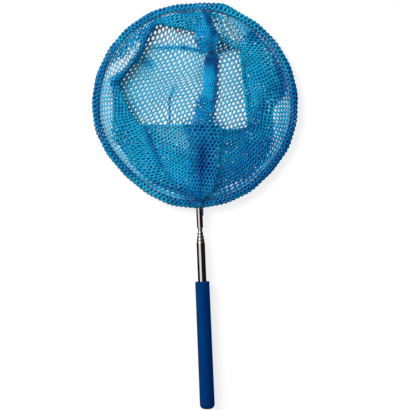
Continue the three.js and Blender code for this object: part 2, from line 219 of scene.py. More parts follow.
# Painted shade on the seam: a dark band below the knot, at its top and down its lower half; painted light
# where below zero
SEAM_PAINTED_SHADE_AND_LIGHT = (
    (11, 44, 26, 44, 7.0, 1.0), (23.5, 42, 21.5, 4, 3.4, 0.8), (12, 30, 11, 14, 7.0, -0.4),
    (16, 0, 15, -14, 3.4, 0.75), (3, -2, 2, -16, 5.0, -0.1), (11, 96, 17, 84, 3.0, 0.9),
    (17, 84, 22, 70, 2.8, 0.9), (21, 70, 18, 54, 4.0, 0.6), (6, 72, 8, 60, 4.0, -0.3),
    (8, -24, 5, -60, 12.0, 0.9), (5, -60, 1, -96, 12.0, 1.0),
)
# Painted shade on the loose layer over the seam's lower half
COVER_PAINTED_SHADE = (
    (8, -24, 5, -60, 12.0, 0.2), (5, -60, 1, -96, 12.0, 0.2), (7, -34, 5, -58, 4.5, 0.35),
    (5, -50, 1, -95, 1.7, 0.5),
)

# Stage: softbox in metres, the floor's own light that makes it as white as the background, and the
# middle of the picture in millimetres, to the right of the handle and below the hoop's middle
SOFTBOX_SIZE = 0.9
SOFTBOX_PLACE = (-0.75, 0.75, 0.72)
SOFTBOX_AIM = (0, 0.1, 0)
FLOOR_GLOW = 1.3
FLOOR_GLOW_SHARE = 0.57
SENSOR_HEIGHT = 24
VIEW_RIGHT = 0.9
VIEW_BELOW_HOOP = 99.2


def linear(code):
    """Linear colour of an sRGB hex code such as #1b7fb0, with full opacity."""
    shares = [int(code[at : at + 2], 16) / 255 for at in (1, 3, 5)]
    return [s / 12.92 if s <= 0.04045 else ((s + 0.055) / 1.055) ** 2.4 for s in shares] + [1.0]


def colour_property(name, description, code):
    """A colour that the panel shows, from an sRGB hex code."""
    return bpy.props.FloatVectorProperty(
        name=name, description=description, default=linear(code), subtype="COLOR", size=4, min=0, max=1
    )


def length_property(name, description, millimetres):
    """A length that the panel shows in the scene's unit."""
    return bpy.props.FloatProperty(
        name=name, description=description, default=millimetres * MM, min=0, unit="LENGTH", precision=4
    )


class INSECT_NET_PG_sizes(bpy.types.PropertyGroup):
    """Sizes of the pieces that the scene makes"""

    round_sides: bpy.props.IntProperty(
        name="Round sides", description="Sides of the grip, tubes and socket", default=96, min=24
    )
    tube_wall: length_property("Tube wall", "Wall of each chromed tube", 0.2)
    tube_room: length_property("Tube room", "Gap between two nested tubes", 0.28)
    lip_length: length_property("Lip length", "Length of a tube's rolled mouth", 1.6)
    bead_length: length_property("Bead length", "Length of the bead above the leaf springs", 1.6)
    bead_start: length_property("Bead start", "From an inner tube's lower end to its bead", 23.1)
    grip_end_round: length_property("Butt rounding", "Rounding of the grip's butt end", 4.6)
    grip_top_round: length_property("Top rounding", "Rounding of the grip's upper edge", 0.8)
    grip_end_wall: length_property("Butt wall", "Foam below the tube's lower end", 6.0)
    wire: length_property("Wire", "Diameter of the hoop's wire", 2.6)
    cell: length_property("Cell width", "Middle to middle of the net's holes in one course", 4.46)
    course: length_property("Course", "From one course of holes to the next", 3.92)
    side_cell: length_property("Side cell width", "The same on the side, which is pulled along", 4.3)
    side_course: length_property("Side course", "From one course of holes to the next there", 3.5)
    strand: length_property("Strand", "Half the width of the knitted strand between two holes", 1.34)
    side_strand: length_property("Side strand", "The same on the side, which is pulled along", 0.95)
    cloth: length_property("Cloth", "Thickness of the net at a strand", 0.9)
    thread: length_property("Thread", "Diameter of the sewing thread", 0.55)


class INSECT_NET_PG_colours(bpy.types.PropertyGroup):
    """Colours of the finishes"""

    foam: colour_property("Foam", "Skin of the moulded foam grip", "#003470")
    foam_dark: colour_property("Foam shade", "Foam where its skin is denser", "#002a5c")
    chrome: colour_property("Chrome", "Plating of the tubes and the socket", "#e4dad3")
    wire: colour_property("Wire", "Spring wire, darkened by its heat treatment", "#2b3440")
    net: colour_property("Net", "Dyed polyester net", "#18b5da")
    # Painted shade: the darker net colour that the shade attribute mixes in at folds and on the shaded side
    net_painted_shade: colour_property("Net shade", "Net where the dye took more", "#025f9a")
    # Painted light: the paler net colour mixed in where one layer lies by itself, as if the ground's light
    # came through
    net_painted_light: colour_property("Net in one layer", "Net that the ground's light comes through", "#63a0bb")
    seam: colour_property("Seam", "Doubled net of the seam", "#12a8e0")
    # Painted shade: the darker seam colour that the shade attribute mixes in below the knot and down the
    # seam
    seam_painted_shade: colour_property("Seam shade", "Seam where the dye took more", "#02387c")
    thread: colour_property("Thread", "Sewing thread", "#04265a")
    plastic: colour_property("Plastic", "Nylon of the bushes and the plug", "#1d1e21")
    brass: colour_property("Brass", "Leaf springs", "#b58f45")


class INSECT_NET_PG_studio(bpy.types.PropertyGroup):
    """Lamps, floor and camera"""

    camera_height: bpy.props.FloatProperty(
        name="Camera height", description="Camera above the hoop", default=1.4, unit="LENGTH"
    )
    frame_height: length_property("Frame height", "Height of the picture at the hoop", 406.3)
    turn: bpy.props.FloatProperty(
        name="Turn", description="How far the camera is turned about its axis", default=math.radians(2.36),
        subtype="ANGLE",
    )
    key_power: bpy.props.FloatProperty(
        name="Key lamp", description="Power of the large softbox", default=21
    )
    sky: bpy.props.FloatProperty(
        name="Fill", description="Brightness of the room for plain surfaces", default=0.4
    )


def add_node(tree, kind, settings=None, links=None):
    """Adds a shader node. Settings go to its sockets by name or number, or else to its own values."""
    node = tree.nodes.new("ShaderNode" + kind)
    for name, value in (settings or {}).items():
        if isinstance(name, int) or name in node.inputs:
            node.inputs[name].default_value = value
        else:
            setattr(node, name, value)
    for name, source in (links or {}).items():
        tree.links.new(source, node.inputs[name])
    return node


def new_material(name):
    """An empty material, and its tree."""
    material = bpy.data.materials.new(name)
    material.use_nodes = True
    material.node_tree.nodes.clear()
    return material, material.node_tree


def finish_material(material, shader, bump=None):
    """Joins the shader to the material's output, with its bump if it has one."""
    tree = material.node_tree
    if bump is not None:
        tree.links.new(bump.outputs["Normal"], shader.inputs["Normal"])
    add_node(tree, "OutputMaterial", links={"Surface": shader.outputs["BSDF"]})
    return material


def moulded_eva_foam(colours):
    """EVA foam with its moulded skin: matt, with fine pores that break up the highlight."""
    material, tree = new_material("moulded_eva_foam")
    place = add_node(tree, "TexCoord").outputs["Object"]
    # Pores are 0.3 mm wide and are drawn at 0.6 mm, since finer ones don't show
    pores = add_node(tree, "TexVoronoi", {"Scale": 1 / (0.6 * MM)}, {"Vector": place})
    patches = add_node(tree, "TexNoise", {"Scale": 1 / (9 * MM), "Detail": 4.0}, {"Vector": place})
    tint = add_node(
        tree, "Mix",
        {"data_type": "RGBA", 6: colours.foam_dark[:], 7: colours.foam[:]}, {0: patches.outputs["Fac"]},
    )
    rough = add_node(
        tree, "MapRange", {"To Min": 0.55, "To Max": 0.78}, {"Value": pores.outputs["Distance"]}
    )
    bump = add_node(
        tree, "Bump", {"Strength": 0.35, "Distance": 0.12 * MM}, {"Height": pores.outputs["Distance"]}
    )
    shader = add_node(
        tree, "BsdfPrincipled", {"IOR": 1.47, "Specular IOR Level": 0.01},
        {"Base Color": tint.outputs[2], "Roughness": rough.outputs["Result"]},
    )
    return finish_material(material, shader, bump)


def polished_chrome(colours):
    """Chrome plated on drawn and polished tube: a near mirror, with faint wiping marks along it."""
    material, tree = new_material("polished_chrome_plate")
    place = add_node(tree, "TexCoord").outputs["Object"]
    # Wiping marks are 0.2 mm wide, are drawn at 0.5 mm and run 12 mm along the tube
    stretch = add_node(
        tree, "Mapping", {"Scale": (1 / (0.5 * MM), 1 / (12 * MM), 1 / (0.5 * MM))}, {"Vector": place}
    )
    marks = add_node(tree, "TexNoise", {"Scale": 1.0, "Detail": 3.0}, {"Vector": stretch.outputs["Vector"]})
    haze = add_node(tree, "TexNoise", {"Scale": 1 / (7 * MM), "Detail": 2.0}, {"Vector": place})
    both = add_node(
        tree, "Math", {"operation": "MULTIPLY"}, {0: marks.outputs["Fac"], 1: haze.outputs["Fac"]}
    )
    rough = add_node(
        tree, "MapRange", {"From Max": 0.5, "To Min": 0.05, "To Max": 0.17}, {"Value": both.outputs[0]}
    )
    shader = add_node(
        tree, "BsdfPrincipled", {"Base Color": colours.chrome[:], "Metallic": 1.0},
        {"Roughness": rough.outputs["Result"]},
    )
    return finish_material(material, shader)


def drawn_spring_wire(colours):
    """Drawn carbon steel wire with its dark heat-treated skin: a dull metal, scaled in patches."""
    material, tree = new_material("drawn_spring_steel")
    place = add_node(tree, "TexCoord").outputs["Object"]
    # Scale marks are about 2 mm long
    scale_marks = add_node(tree, "TexNoise", {"Scale": 1 / (2 * MM), "Detail": 4.0}, {"Vector": place})
    rough = add_node(
        tree, "MapRange", {"To Min": 0.3, "To Max": 0.55}, {"Value": scale_marks.outputs["Fac"]}
    )
    shader = add_node(
        tree, "BsdfPrincipled", {"Base Color": colours.wire[:], "Metallic": 1.0},
        {"Roughness": rough.outputs["Result"]},
    )
    return finish_material(material, shader)


def moulded_nylon(colours):
    """Nylon as it comes from the mould: half matt, with a fine spark-eroded grain."""
    material, tree = new_material("moulded_nylon")
    place = add_node(tree, "TexCoord").outputs["Object"]
    # Spark-eroded grain of 0.25 mm
    grain = add_node(tree, "TexNoise", {"Scale": 1 / (0.25 * MM), "Detail": 2.0}, {"Vector": place})
    rough = add_node(tree, "MapRange", {"To Min": 0.4, "To Max": 0.6}, {"Value": grain.outputs["Fac"]})
    bump = add_node(
        tree, "Bump", {"Strength": 0.3, "Distance": 0.03 * MM}, {"Height": grain.outputs["Fac"]}
    )
    shader = add_node(
        tree, "BsdfPrincipled", {"Base Color": colours.plastic[:], "IOR": 1.53},
        {"Roughness": rough.outputs["Result"]},
    )
    return finish_material(material, shader, bump)


def rolled_brass(colours):
    """Spring-hard rolled brass strip: satin metal with lines along the strip, rubbed bright."""
    material, tree = new_material("rolled_brass_strip")
    place = add_node(tree, "TexCoord").outputs["Object"]
    # Rolling lines are 0.15 mm apart and run along the strip
    stretch = add_node(
        tree, "Mapping", {"Scale": (1 / (0.15 * MM), 1 / (8 * MM), 1 / (0.15 * MM))}, {"Vector": place}
    )
    lines = add_node(tree, "TexNoise", {"Scale": 1.0}, {"Vector": stretch.outputs["Vector"]})
    rough = add_node(tree, "MapRange", {"To Min": 0.22, "To Max": 0.42}, {"Value": lines.outputs["Fac"]})
    shader = add_node(
        tree, "BsdfPrincipled", {"Base Color": colours.brass[:], "Metallic": 1.0},
        {"Roughness": rough.outputs["Result"]},
    )
    return finish_material(material, shader)


def knitted_polyester(name, light, painted_shade_colour, painted_light_colour):
    """Dyed polyester yarn knitted to a net: soft gloss on round strands, with the yarn's loops.

    Light comes through the yarn. Its colour also carries painted shade, deeper in folds and creases
    and on the side away from the lamp, and painted light, paler where one layer lies by itself.
    """
    material, tree = new_material(name)
    # Painted shade and painted light, read from the mesh's attribute
    painted_light_and_shade = add_node(tree, "Attribute", {"attribute_name": "painted_light_and_shade"})
    place = add_node(tree, "TexCoord").outputs["Object"]
    # The dye varies over about 14 mm of cloth, and the loops of the yarn are 0.5 mm wide
    dye = add_node(tree, "TexNoise", {"Scale": 1 / (14 * MM), "Detail": 3.0}, {"Vector": place})
    loops = add_node(
        tree, "TexNoise", {"Scale": 1 / (0.5 * MM), "Detail": 3.0, "Roughness": 0.6}, {"Vector": place}
    )
    # Painted shade: the colour turns darker as the shade attribute rises, and its loops and its dye vary
    # that
    clear = add_node(
        tree, "MapRange", {"From Min": -1.0, "To Min": 1.0, "To Max": -0.2},
        {"Value": painted_light_and_shade.outputs["Fac"]},
    )
    looped = add_node(
        tree, "Math", {"operation": "MULTIPLY_ADD", 1: 0.9},
        {0: loops.outputs["Fac"], 2: clear.outputs["Result"]},
    )
    mixed = add_node(
        tree, "Math", {"operation": "MULTIPLY_ADD", 1: 0.6}, {0: dye.outputs["Fac"], 2: looped.outputs[0]}
    )
    spread = add_node(tree, "MapRange", {"From Min": 0.65, "From Max": 1.65}, {"Value": mixed.outputs[0]})
    tint = add_node(tree, "Mix", {"data_type": "RGBA", 6: painted_shade_colour, 7: light}, {0: spread.outputs["Result"]})
    # Painted light: below zero, the shade attribute mixes the colour towards the paler one
    painted_light_share = add_node(
        tree, "MapRange", {"From Min": 0.0, "From Max": -1.0, "To Max": 0.85},
        {"Value": painted_light_and_shade.outputs["Fac"]},
    )
    lit = add_node(
        tree, "Mix", {"data_type": "RGBA", 7: painted_light_colour}, {0: painted_light_share.outputs["Result"], 6: tint.outputs[2]}
    )
    bump = add_node(
        tree, "Bump", {"Strength": 0.5, "Distance": 0.15 * MM}, {"Height": loops.outputs["Fac"]}
    )
    shader = add_node(
        tree, "BsdfPrincipled",
        {
            "Roughness": 0.5, "IOR": 1.5, "Specular IOR Level": 0.08,
            "Subsurface Weight": 0.7, "Subsurface Radius": (0.5, 1.1, 1.4), "Subsurface Scale": MM,
        },
        {"Base Color": lit.outputs[2]},
    )
    return finish_material(material, shader, bump)


def twisted_thread(colours):
    """Bonded polyester sewing thread: a slightly waxy gloss over its twist."""
    material, tree = new_material("twisted_polyester_thread")
    place = add_node(tree, "TexCoord").outputs["Object"]
    # The twist repeats every 0.6 mm
    twist = add_node(tree, "TexNoise", {"Scale": 1 / (0.6 * MM), "Detail": 1.0}, {"Vector": place})
    bump = add_node(tree, "Bump", {"Strength": 0.5, "Distance": 0.1 * MM}, {"Height": twist.outputs["Fac"]})
    shader = add_node(
        tree, "BsdfPrincipled", {"Base Color": colours.thread[:], "Roughness": 0.45, "IOR": 1.5}
    )
    return finish_material(material, shader, bump)


def hoop_reach(degrees):
    """Radius of the wire's middle at some angles, counted from +X towards +Y."""
    reach = np.full(np.shape(degrees), HOOP_RADIUS)
    for at, depth, spread in HOOP_FLATS:
        away = np.abs((degrees - at + 180) % 360 - 180)
        dip = depth / 2 * (1 + np.cos(np.pi * away / spread))
        reach = reach - np.where(away < spread, dip, 0)
    return reach


def corner_reach(corners, degrees):
    """How far out a ray from the middle meets an outline of straight sides."""
    ray_x, ray_y = np.cos(np.radians(degrees)), np.sin(np.radians(degrees))
    reach = np.zeros_like(ray_x)
    for (x1, y1), (x2, y2) in zip(corners, corners[1:] + corners[:1]):
        across = ray_x * (y2 - y1) - ray_y * (x2 - x1)
        across = np.where(np.abs(across) < 1e-9, 1e-9, across)
        distance = (x1 * (y2 - y1) - y1 * (x2 - x1)) / across
        along = (ray_y * x1 - ray_x * y1) / across
        meets = (distance > 0) & (along >= 0) & (along <= 1)
        reach = np.where(meets, np.maximum(reach, distance), reach)
    return reach


TABLE_ANGLES = np.linspace(0, 360, 1441)
HEM_INSIDE = hoop_reach(TABLE_ANGLES) - HEM_HALF
INNER_REACH = np.minimum(corner_reach(INNER_FOLD, TABLE_ANGLES), HEM_INSIDE - SHORTEST_FOLD - SIDE_INSET)
OUTER_REACH = np.maximum(
    np.minimum(corner_reach(OUTER_FOLD, TABLE_ANGLES), HEM_INSIDE - SIDE_INSET), INNER_REACH + SHORTEST_FOLD
)


def polar(points):
    """Angle in degrees and distance of places from the middle of the hoop."""
    angle = np.degrees(np.arctan2(points[..., 1], points[..., 0])) % 360
    return angle, np.hypot(points[..., 0], points[..., 1])


def at_angles(table, angles):
    """Values of a table that has one for each of TABLE_ANGLES."""
    return np.interp(angles % 360, TABLE_ANGLES, table)


def smooth_step(value, low, high):
    """From none at low to one at high, with no corner. Low may be the larger of the two."""
    share = np.clip((value - low) / (high - low), 0, 1)
    return share * share * (3 - 2 * share)


def unit(vectors):
    """The same directions, each with a length of one."""
    return vectors / np.linalg.norm(vectors, axis=-1, keepdims=True)


def drawn_in(points, puckers):
    """Places after each pucker has drawn the net in, the first one first."""
    points = points.copy()
    for x, y, angle, amount, reach, length, _ in puckers:
        turn = math.radians(angle)
        across = np.array([math.cos(turn), math.sin(turn)])
        along = np.array([-math.sin(turn), math.cos(turn)])
        away = points - np.array([x, y])
        side, run = away @ across, away @ along
        pull = amount * reach * np.tanh(side / reach)
        pull = pull * np.exp(-((run / length) ** 2)) * np.exp(-((side / (5 * reach)) ** 2))
        points = points - pull[..., None] * across
    return points


def ridges(points, puckers):
    """Height that the puckers add at some places."""
    height = np.zeros(points.shape[:-1])
    for x, y, angle, _, reach, length, rise in puckers:
        turn = math.radians(angle)
        away = points - np.array([x, y])
        side = away @ np.array([math.cos(turn), math.sin(turn)])
        run = away @ np.array([-math.sin(turn), math.cos(turn)])
        height = height + rise * np.exp(-((side / reach) ** 2) - (run / length) ** 2)
    return height


def bunching_and_shade(points, lines, base=0.0):
    """Sum of the lines at some places, which gives both how far the cloth lies in layers and its painted
    shade: none, about one in a fold, or below none, where it is painted light.
    """
    total = np.zeros(points.shape[:-1]) + base
    for x1, y1, x2, y2, spread, amount in lines:
        start, run = np.array([x1, y1]), np.array([x2 - x1, y2 - y1])
        along = np.clip((points - start) @ run / (run @ run), 0, 1)
        away = np.linalg.norm(points - start - along[..., None] * run, axis=-1)
        total = total + amount * np.exp(-((away / spread) ** 2))
    return np.clip(total, -1, 1)


def ripples(points, size, length, phase):
    """Small loose shifts of the cloth in its own plane, from waves of several lengths."""
    x, y = points[..., 0] * 2 * np.pi / length, points[..., 1] * 2 * np.pi / length
    shift_x = np.sin(0.9 * x + 0.5 * y + phase) + 0.6 * np.sin(1.7 * y - 0.4 * x + 2 * phase)
    shift_y = np.sin(0.8 * y - 0.6 * x + 3 * phase) + 0.6 * np.sin(1.6 * x + 0.5 * y + phase)
    return size * np.stack([shift_x, shift_y], -1)


def turned_about(points, degrees):
    """Places turned about the middle of the hoop."""
    turn = math.radians(degrees)
    x, y = points[..., 0], points[..., 1]
    return np.stack([x * math.cos(turn) - y * math.sin(turn), x * math.sin(turn) + y * math.cos(turn)], -1)


def net_cells(middles, cell, course, period=None):
    """Shared ring points of the net's cells, laid flat, and the twelve of each cell.

    A cell has six corners, and a point in the middle of each of its sides. A net that closes in a
    round has its period, the length along which it repeats.
    """
    low = course / 2 - cell**2 / (8 * course)
    high = course - low
    ring = np.array([
        (cell / 2, low), (cell / 4, course / 2), (0, high), (-cell / 4, course / 2), (-cell / 2, low),
        (-cell / 2, 0), (-cell / 2, -low), (-cell / 4, -course / 2), (0, -high), (cell / 4, -course / 2),
        (cell / 2, -low), (cell / 2, 0),
    ])
    rings = middles[:, None] + ring
    # Points that two cells share have the same key
    keys = np.rint(rings * (64 / cell, 100)).astype(np.int64)
    if period:
        keys[..., 0] %= round(period * 64 / cell)
    first, number = np.unique(keys.reshape(-1, 2), axis=0, return_index=True, return_inverse=True)[1:]
    return rings.reshape(-1, 2)[first], number.reshape(-1, 12)


def staggered(columns, rows, cell, course):
    """Middles of the cells of a net with every other course half a cell along."""
    across, up = np.meshgrid(np.arange(*columns), np.arange(*rows))
    return np.stack([(across + (up % 2) / 2) * cell, up * course], -1).reshape(-1, 2)


def slopes_to_normals(height, points):
    """Normals of a sheet, from its heights a small step to each side."""
    step = 0.4
    slope_x = (height(points + (step, 0)) - height(points - (step, 0))) / (2 * step)
    slope_y = (height(points + (0, step)) - height(points - (0, step))) / (2 * step)
    return unit(np.stack([-slope_x, -slope_y, np.ones_like(slope_x)], -1))


def laid_net(middles, place, height, cell, course, low, high, period=None, spare=0.15):
    """Ring points, their normals and the cells of a net that lies between two outlines.

    Spare is the share of a cell that its middle stays inside the outer one. Points past an outline
    are drawn onto it.
    """
    angle, reach = polar(place(middles))
    inside = (reach > at_angles(low, angle) + 0.15 * cell) & (reach < at_angles(high, angle) - spare * cell)
    flat, cells = net_cells(middles[inside], cell, course, period)
    points = place(flat)
    angle, reach = polar(points)
    held = np.clip(reach, at_angles(low, angle), at_angles(high, angle))
    points = points * (held / np.maximum(reach, 1e-6))[:, None]
    ring = np.column_stack([points, height(points)])
    return ring, slopes_to_normals(height, points), cells


def uneven(cells, seed, strand, spread):
    """Half widths of the strands round each cell, which differ by chance from cell to cell."""
    return np.random.default_rng(seed).uniform(strand - spread, strand + spread, len(cells))


def strands(ring, normals, cells, strand, thickness):
    """Corner places and faces of the strands between a net's holes. A strand is a round ridge.

    The strand's half width is one number, or one for each cell.
    """
    corners = ring[cells]
    middle = corners.mean(1, keepdims=True)
    spoke = corners - middle
    reach = np.maximum(np.linalg.norm(spoke, axis=-1), 1e-6)
    strand = np.broadcast_to(np.reshape(strand, (-1, 1)), reach.shape)
    opening = reach * np.clip(1 - strand / reach, LEAST_OPEN, 1)
    opening = (np.roll(opening, 1, 1) + 2 * opening + np.roll(opening, -1, 1)) / 4
    opening = np.minimum(opening, reach * MOST_OPEN)
    rim = (middle + spoke / reach[..., None] * opening[..., None]).reshape(-1, 3)
    top = ring + normals * thickness / 2
    bottom = ring - normals * thickness / 2
    count, rims = len(ring), np.arange(len(rim)).reshape(-1, 12) + 2 * len(ring)
    here, there = cells, np.roll(cells, -1, 1)
    rim_here, rim_there = rims, np.roll(rims, -1, 1)
    upper = np.stack([here, there, rim_there, rim_here], -1).reshape(-1, 4)
    lower = np.stack([there + count, here + count, rim_here, rim_there], -1).reshape(-1, 4)
    edges = np.stack([here, there], -1).reshape(-1, 2)
    number, uses = np.unique(np.sort(edges, 1), axis=0, return_inverse=True, return_counts=True)[1:]
    single = edges[uses[number.reshape(-1)] == 1]
    wall = np.stack([single[:, 1], single[:, 0], single[:, 0] + count, single[:, 1] + count], -1)
    return np.concatenate([top, bottom, rim]), np.concatenate([upper, lower, wall])


def joined(parts):
    """Several sets of corners and faces as one."""
    corners, faces, offset = [], [], 0
    for points, polygons in parts:
        corners.append(points)
        faces.append(polygons + offset)
        offset += len(points)
    return np.concatenate(corners), np.concatenate(faces)


def new_piece(
    name, corners, faces, material, body, replaced=(), sharp=None, lift=(0, 0, 0), painted_light_and_shade=None
):
    """A mesh piece from places in millimetres. It rides on a body and stands for CAD nodes.

    Edges sharper than an angle in degrees stay sharp, and lift is added to all the places.
    """
    mesh = bpy.data.meshes.new(name)
    places = (np.asarray(corners, float) + np.asarray(lift, float)) * MM
    mesh.from_pydata(places.tolist(), [], faces.tolist() if isinstance(faces, np.ndarray) else faces)
    mesh.shade_smooth()
    if sharp is not None:
        mesh.set_sharp_from_angle(angle=math.radians(sharp))
    mesh.materials.append(material)
    # The attribute carries painted shade for the net's colour, and painted light where it is below zero
    if painted_light_and_shade is not None:
        shade = mesh.attributes.new("painted_light_and_shade", "FLOAT", "POINT")
        shade.data.foreach_set("value", np.asarray(painted_light_and_shade, np.float32))
    piece = bpy.data.objects.new(name, mesh)
    bpy.context.scene.collection.objects.link(piece)
    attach(piece, body)
    if replaced:
        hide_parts(*replaced)
    return piece


def half_width(node):
    """Half of a CAD node's width, which is the radius of a round one."""
    low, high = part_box(node)
    return (high.x - low.x) / 2 / MM


def ends_from_butt(node):
    """Where a CAD node starts and ends along the handle, from the butt end."""
    low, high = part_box(node)
    return low.y / MM - BUTT, high.y / MM - BUTT


def turned_shape(profile, sides):
    """Corners and faces of a profile of (radius, place along) turned about the handle's axis."""
    corners, faces, rings = [], [], []
    for radius, along in profile:
        start = len(corners)
        if radius < 1e-6:
            corners.append((0, BUTT + along, AXIS_HEIGHT))
            rings.append([start] * sides)
            continue
        for side in range(sides):
            turn = 2 * math.pi * side / sides
            corners.append((radius * math.cos(turn), BUTT + along, AXIS_HEIGHT + radius * math.sin(turn)))
        rings.append(list(range(start, start + sides)))
    for ring, after in zip(rings, rings[1:]):
        for side in range(sides):
            following = (side + 1) % sides
            face = [ring[side], ring[following], after[following], after[side]]
            # A ring of radius none is one corner, which makes triangles
            faces.append([c for n, c in enumerate(face) if c != face[n - 1]])
    return corners, faces


def quarter(radius, along, size, start, steps=8):
    """Quarter round of a turned profile, from an angle in degrees."""
    turns = [math.radians(start + 90 * step / steps) for step in range(steps + 1)]
    return [(radius + size * math.cos(turn), along + size * math.sin(turn)) for turn in turns]


def thread_tube(path, radius, sides, closed=False):
    """Corners and faces of a round thread along a path."""
    path = np.asarray(path, float)
    if closed:
        tangents = np.roll(path, -1, 0) - np.roll(path, 1, 0)
    else:
        tangents = np.gradient(path, axis=0)
    tangents = unit(tangents)
    # Any direction does that no path starts along
    side = np.cross(tangents[0], (0.31, 0.17, 0.93))
    corners = []
    for place, tangent in zip(path, tangents):
        side = unit(side - tangent * np.dot(side, tangent))
        other = np.cross(tangent, side)
        for step in range(sides):
            turn = 2 * math.pi * step / sides
            corners.append(place + radius * (math.cos(turn) * side + math.sin(turn) * other))
    count = len(path)
    rows = np.arange(count if closed else count - 1)
    row, step = np.meshgrid(rows, np.arange(sides), indexing="ij")
    near, far, after = row * sides, (row + 1) % count * sides, (step + 1) % sides
    faces = np.stack([near + step, near + after, far + after, far + step], -1).reshape(-1, 4).tolist()
    if not closed:
        faces.append(list(range(sides))[::-1])
        faces.append([(count - 1) * sides + step for step in range(sides)])
    return np.array(corners), faces


def hoop_place(angles, inset, height):
    """Places round the hoop, a distance inside the wire's middle."""
    reach = hoop_reach(angles) - inset
    turn = np.radians(angles)
    return np.stack([reach * np.cos(turn), reach * np.sin(turn), np.zeros_like(turn) + height], -1)


def hem_place(flat, outwards=0.0):
    """Places on the hem's sleeve. It is twisted a little, wider in one part, and scalloped outside."""
    angle = 360 * flat[:, 0] / (HEM_COLUMNS * HEM_CELL) - 90
    twist = 9 * np.sin(np.radians(angle * 7)) + 7 * np.sin(np.radians(angle * 16 + 40))
    turn = np.radians(HEM_START + twist + 360 * flat[:, 1] / (HEM_ROWS * HEM_COURSE))
    swell = 2.6 * np.exp(-(((angle - 72) / 6) ** 2)) + 0.25 * np.sin(np.radians(angle * 23))
    scallop = 0.3 * np.cos(2 * np.pi * flat[:, 0] / HEM_CELL) * np.clip(np.cos(turn), 0, 1)
    half_cloth = 0.45
    width = HEM_HALF - half_cloth + outwards + np.where(np.cos(turn) > 0, swell + scallop, 0.1 * swell)
    height = HEM_HALF_HEIGHT - half_cloth + outwards
    place = hoop_place(angle, 0, AXIS_HEIGHT)
    radial = np.stack([np.cos(np.radians(angle)), np.sin(np.radians(angle)), 0 * angle], -1)
    place = place + radial * (width * np.cos(turn))[:, None]
    place[:, 2] += height * np.sin(turn)
    return place


def over_fold(inner, reach):
    """How far round the inner fold's turn: none at its start, one at the fold itself."""
    return np.clip((inner + FOLD_ROUND - reach) / FOLD_ROUND, 0, 1)


def side_height(points):
    """Height of the upper layer of the side: up from the hem, level, then round the inner fold."""
    angle, reach = polar(points)
    hem, inner = at_angles(HEM_INSIDE, angle), at_angles(INNER_REACH, angle)
    level = AXIS_HEIGHT + SIDE_RISE * smooth_step(hem - reach, 0, (hem - inner) / 3)
    level = level - FOLD_ROUND * (1 - np.sqrt(1 - over_fold(inner, reach) ** 2))
    loose = smooth_step(reach - inner, 1, 6) * smooth_step(hem - reach, 1, 6)
    x, y = points[..., 0], points[..., 1]
    waves = 0.5 * np.sin(x / 5.1 + y / 9.0) + 0.4 * np.sin(y / 6.3 - x / 8.0)
    return level + loose * (waves + ridges(points, SIDE_PUCKERS))


def under_height(points):
    """Height of the lower layer of the side, from under the inner fold down to the outer fold."""
    angle, reach = polar(points)
    inner, outer = at_angles(INNER_REACH, angle), at_angles(OUTER_REACH, angle)
    turned = AXIS_HEIGHT + SIDE_RISE - FOLD_ROUND - FOLD_ROUND * np.sqrt(1 - over_fold(inner, reach) ** 2)
    under = side_height(points) - LAYER_GAP
    start = turned + (under - turned) * smooth_step(reach, inner + FOLD_ROUND, inner + 5)
    # A narrow fold falls from its inner edge on, and one more than 20 mm deep only further out
    wide = np.clip((outer - inner - SHORTEST_FOLD) / 14, 0, 1)
    fall = smooth_step(reach, inner + 0.6 * wide * (outer - inner), outer)
    return start + (UNDER_REST - start) * fall


def under_edge(angle):
    """How far out the lower layer of the side reaches. At the upper right it is only a strip."""
    strip = smooth_step(np.abs(angle - 64), 15, 9)
    return at_angles(OUTER_REACH, angle) * (1 - strip) + (at_angles(INNER_REACH, angle) + 6) * strip


def lies_alone(points):
    """One where the upper layer of the side has no lower layer or tuck under it."""
    angle, reach = polar(points)
    tucked = smooth_step(reach, 80, 86) * smooth_step(np.abs(angle - 112), 48, 40)
    return smooth_step(reach - under_edge(angle), 0, 3) * (1 - tucked)


def gathered_side(flat, around):
    """Places on the upper layer of the side. It is gathered at the hem, then drawn into folds."""
    lean, crowded = 0.35, 11
    angle = 360 * flat[:, 0] / around + lean * flat[:, 1]
    pressed = 0.5 * crowded * (1 - np.exp(-flat[:, 1] / crowded))
    reach = at_angles(HEM_INSIDE, angle) + 1.2 - flat[:, 1] + pressed
    turn = np.radians(angle)
    points = np.stack([reach * np.cos(turn), reach * np.sin(turn)], -1)
    angle_drawn, reach_drawn = polar(drawn_in(points + ripples(points, 0.7, 34, 1.0), SIDE_PUCKERS))
    # The first courses are sewn to the hem, so that only the next ones can be drawn in or out
    sewn = reach - at_angles(HEM_INSIDE, angle) + at_angles(HEM_INSIDE, angle_drawn)
    reach = sewn + smooth_step(flat[:, 1], 2, 20) * (reach_drawn - sewn)
    turn = np.radians(angle_drawn)
    return np.stack([reach * np.cos(turn), reach * np.sin(turn)], -1)


def turned_grid(turn, phase, puckers):
    """A function that lays a flat net at an angle, with its ripples and puckers."""
    def place(flat):
        points = turned_about(flat, turn)
        return drawn_in(points + ripples(points, 0.8, 38, phase), puckers)

    return place


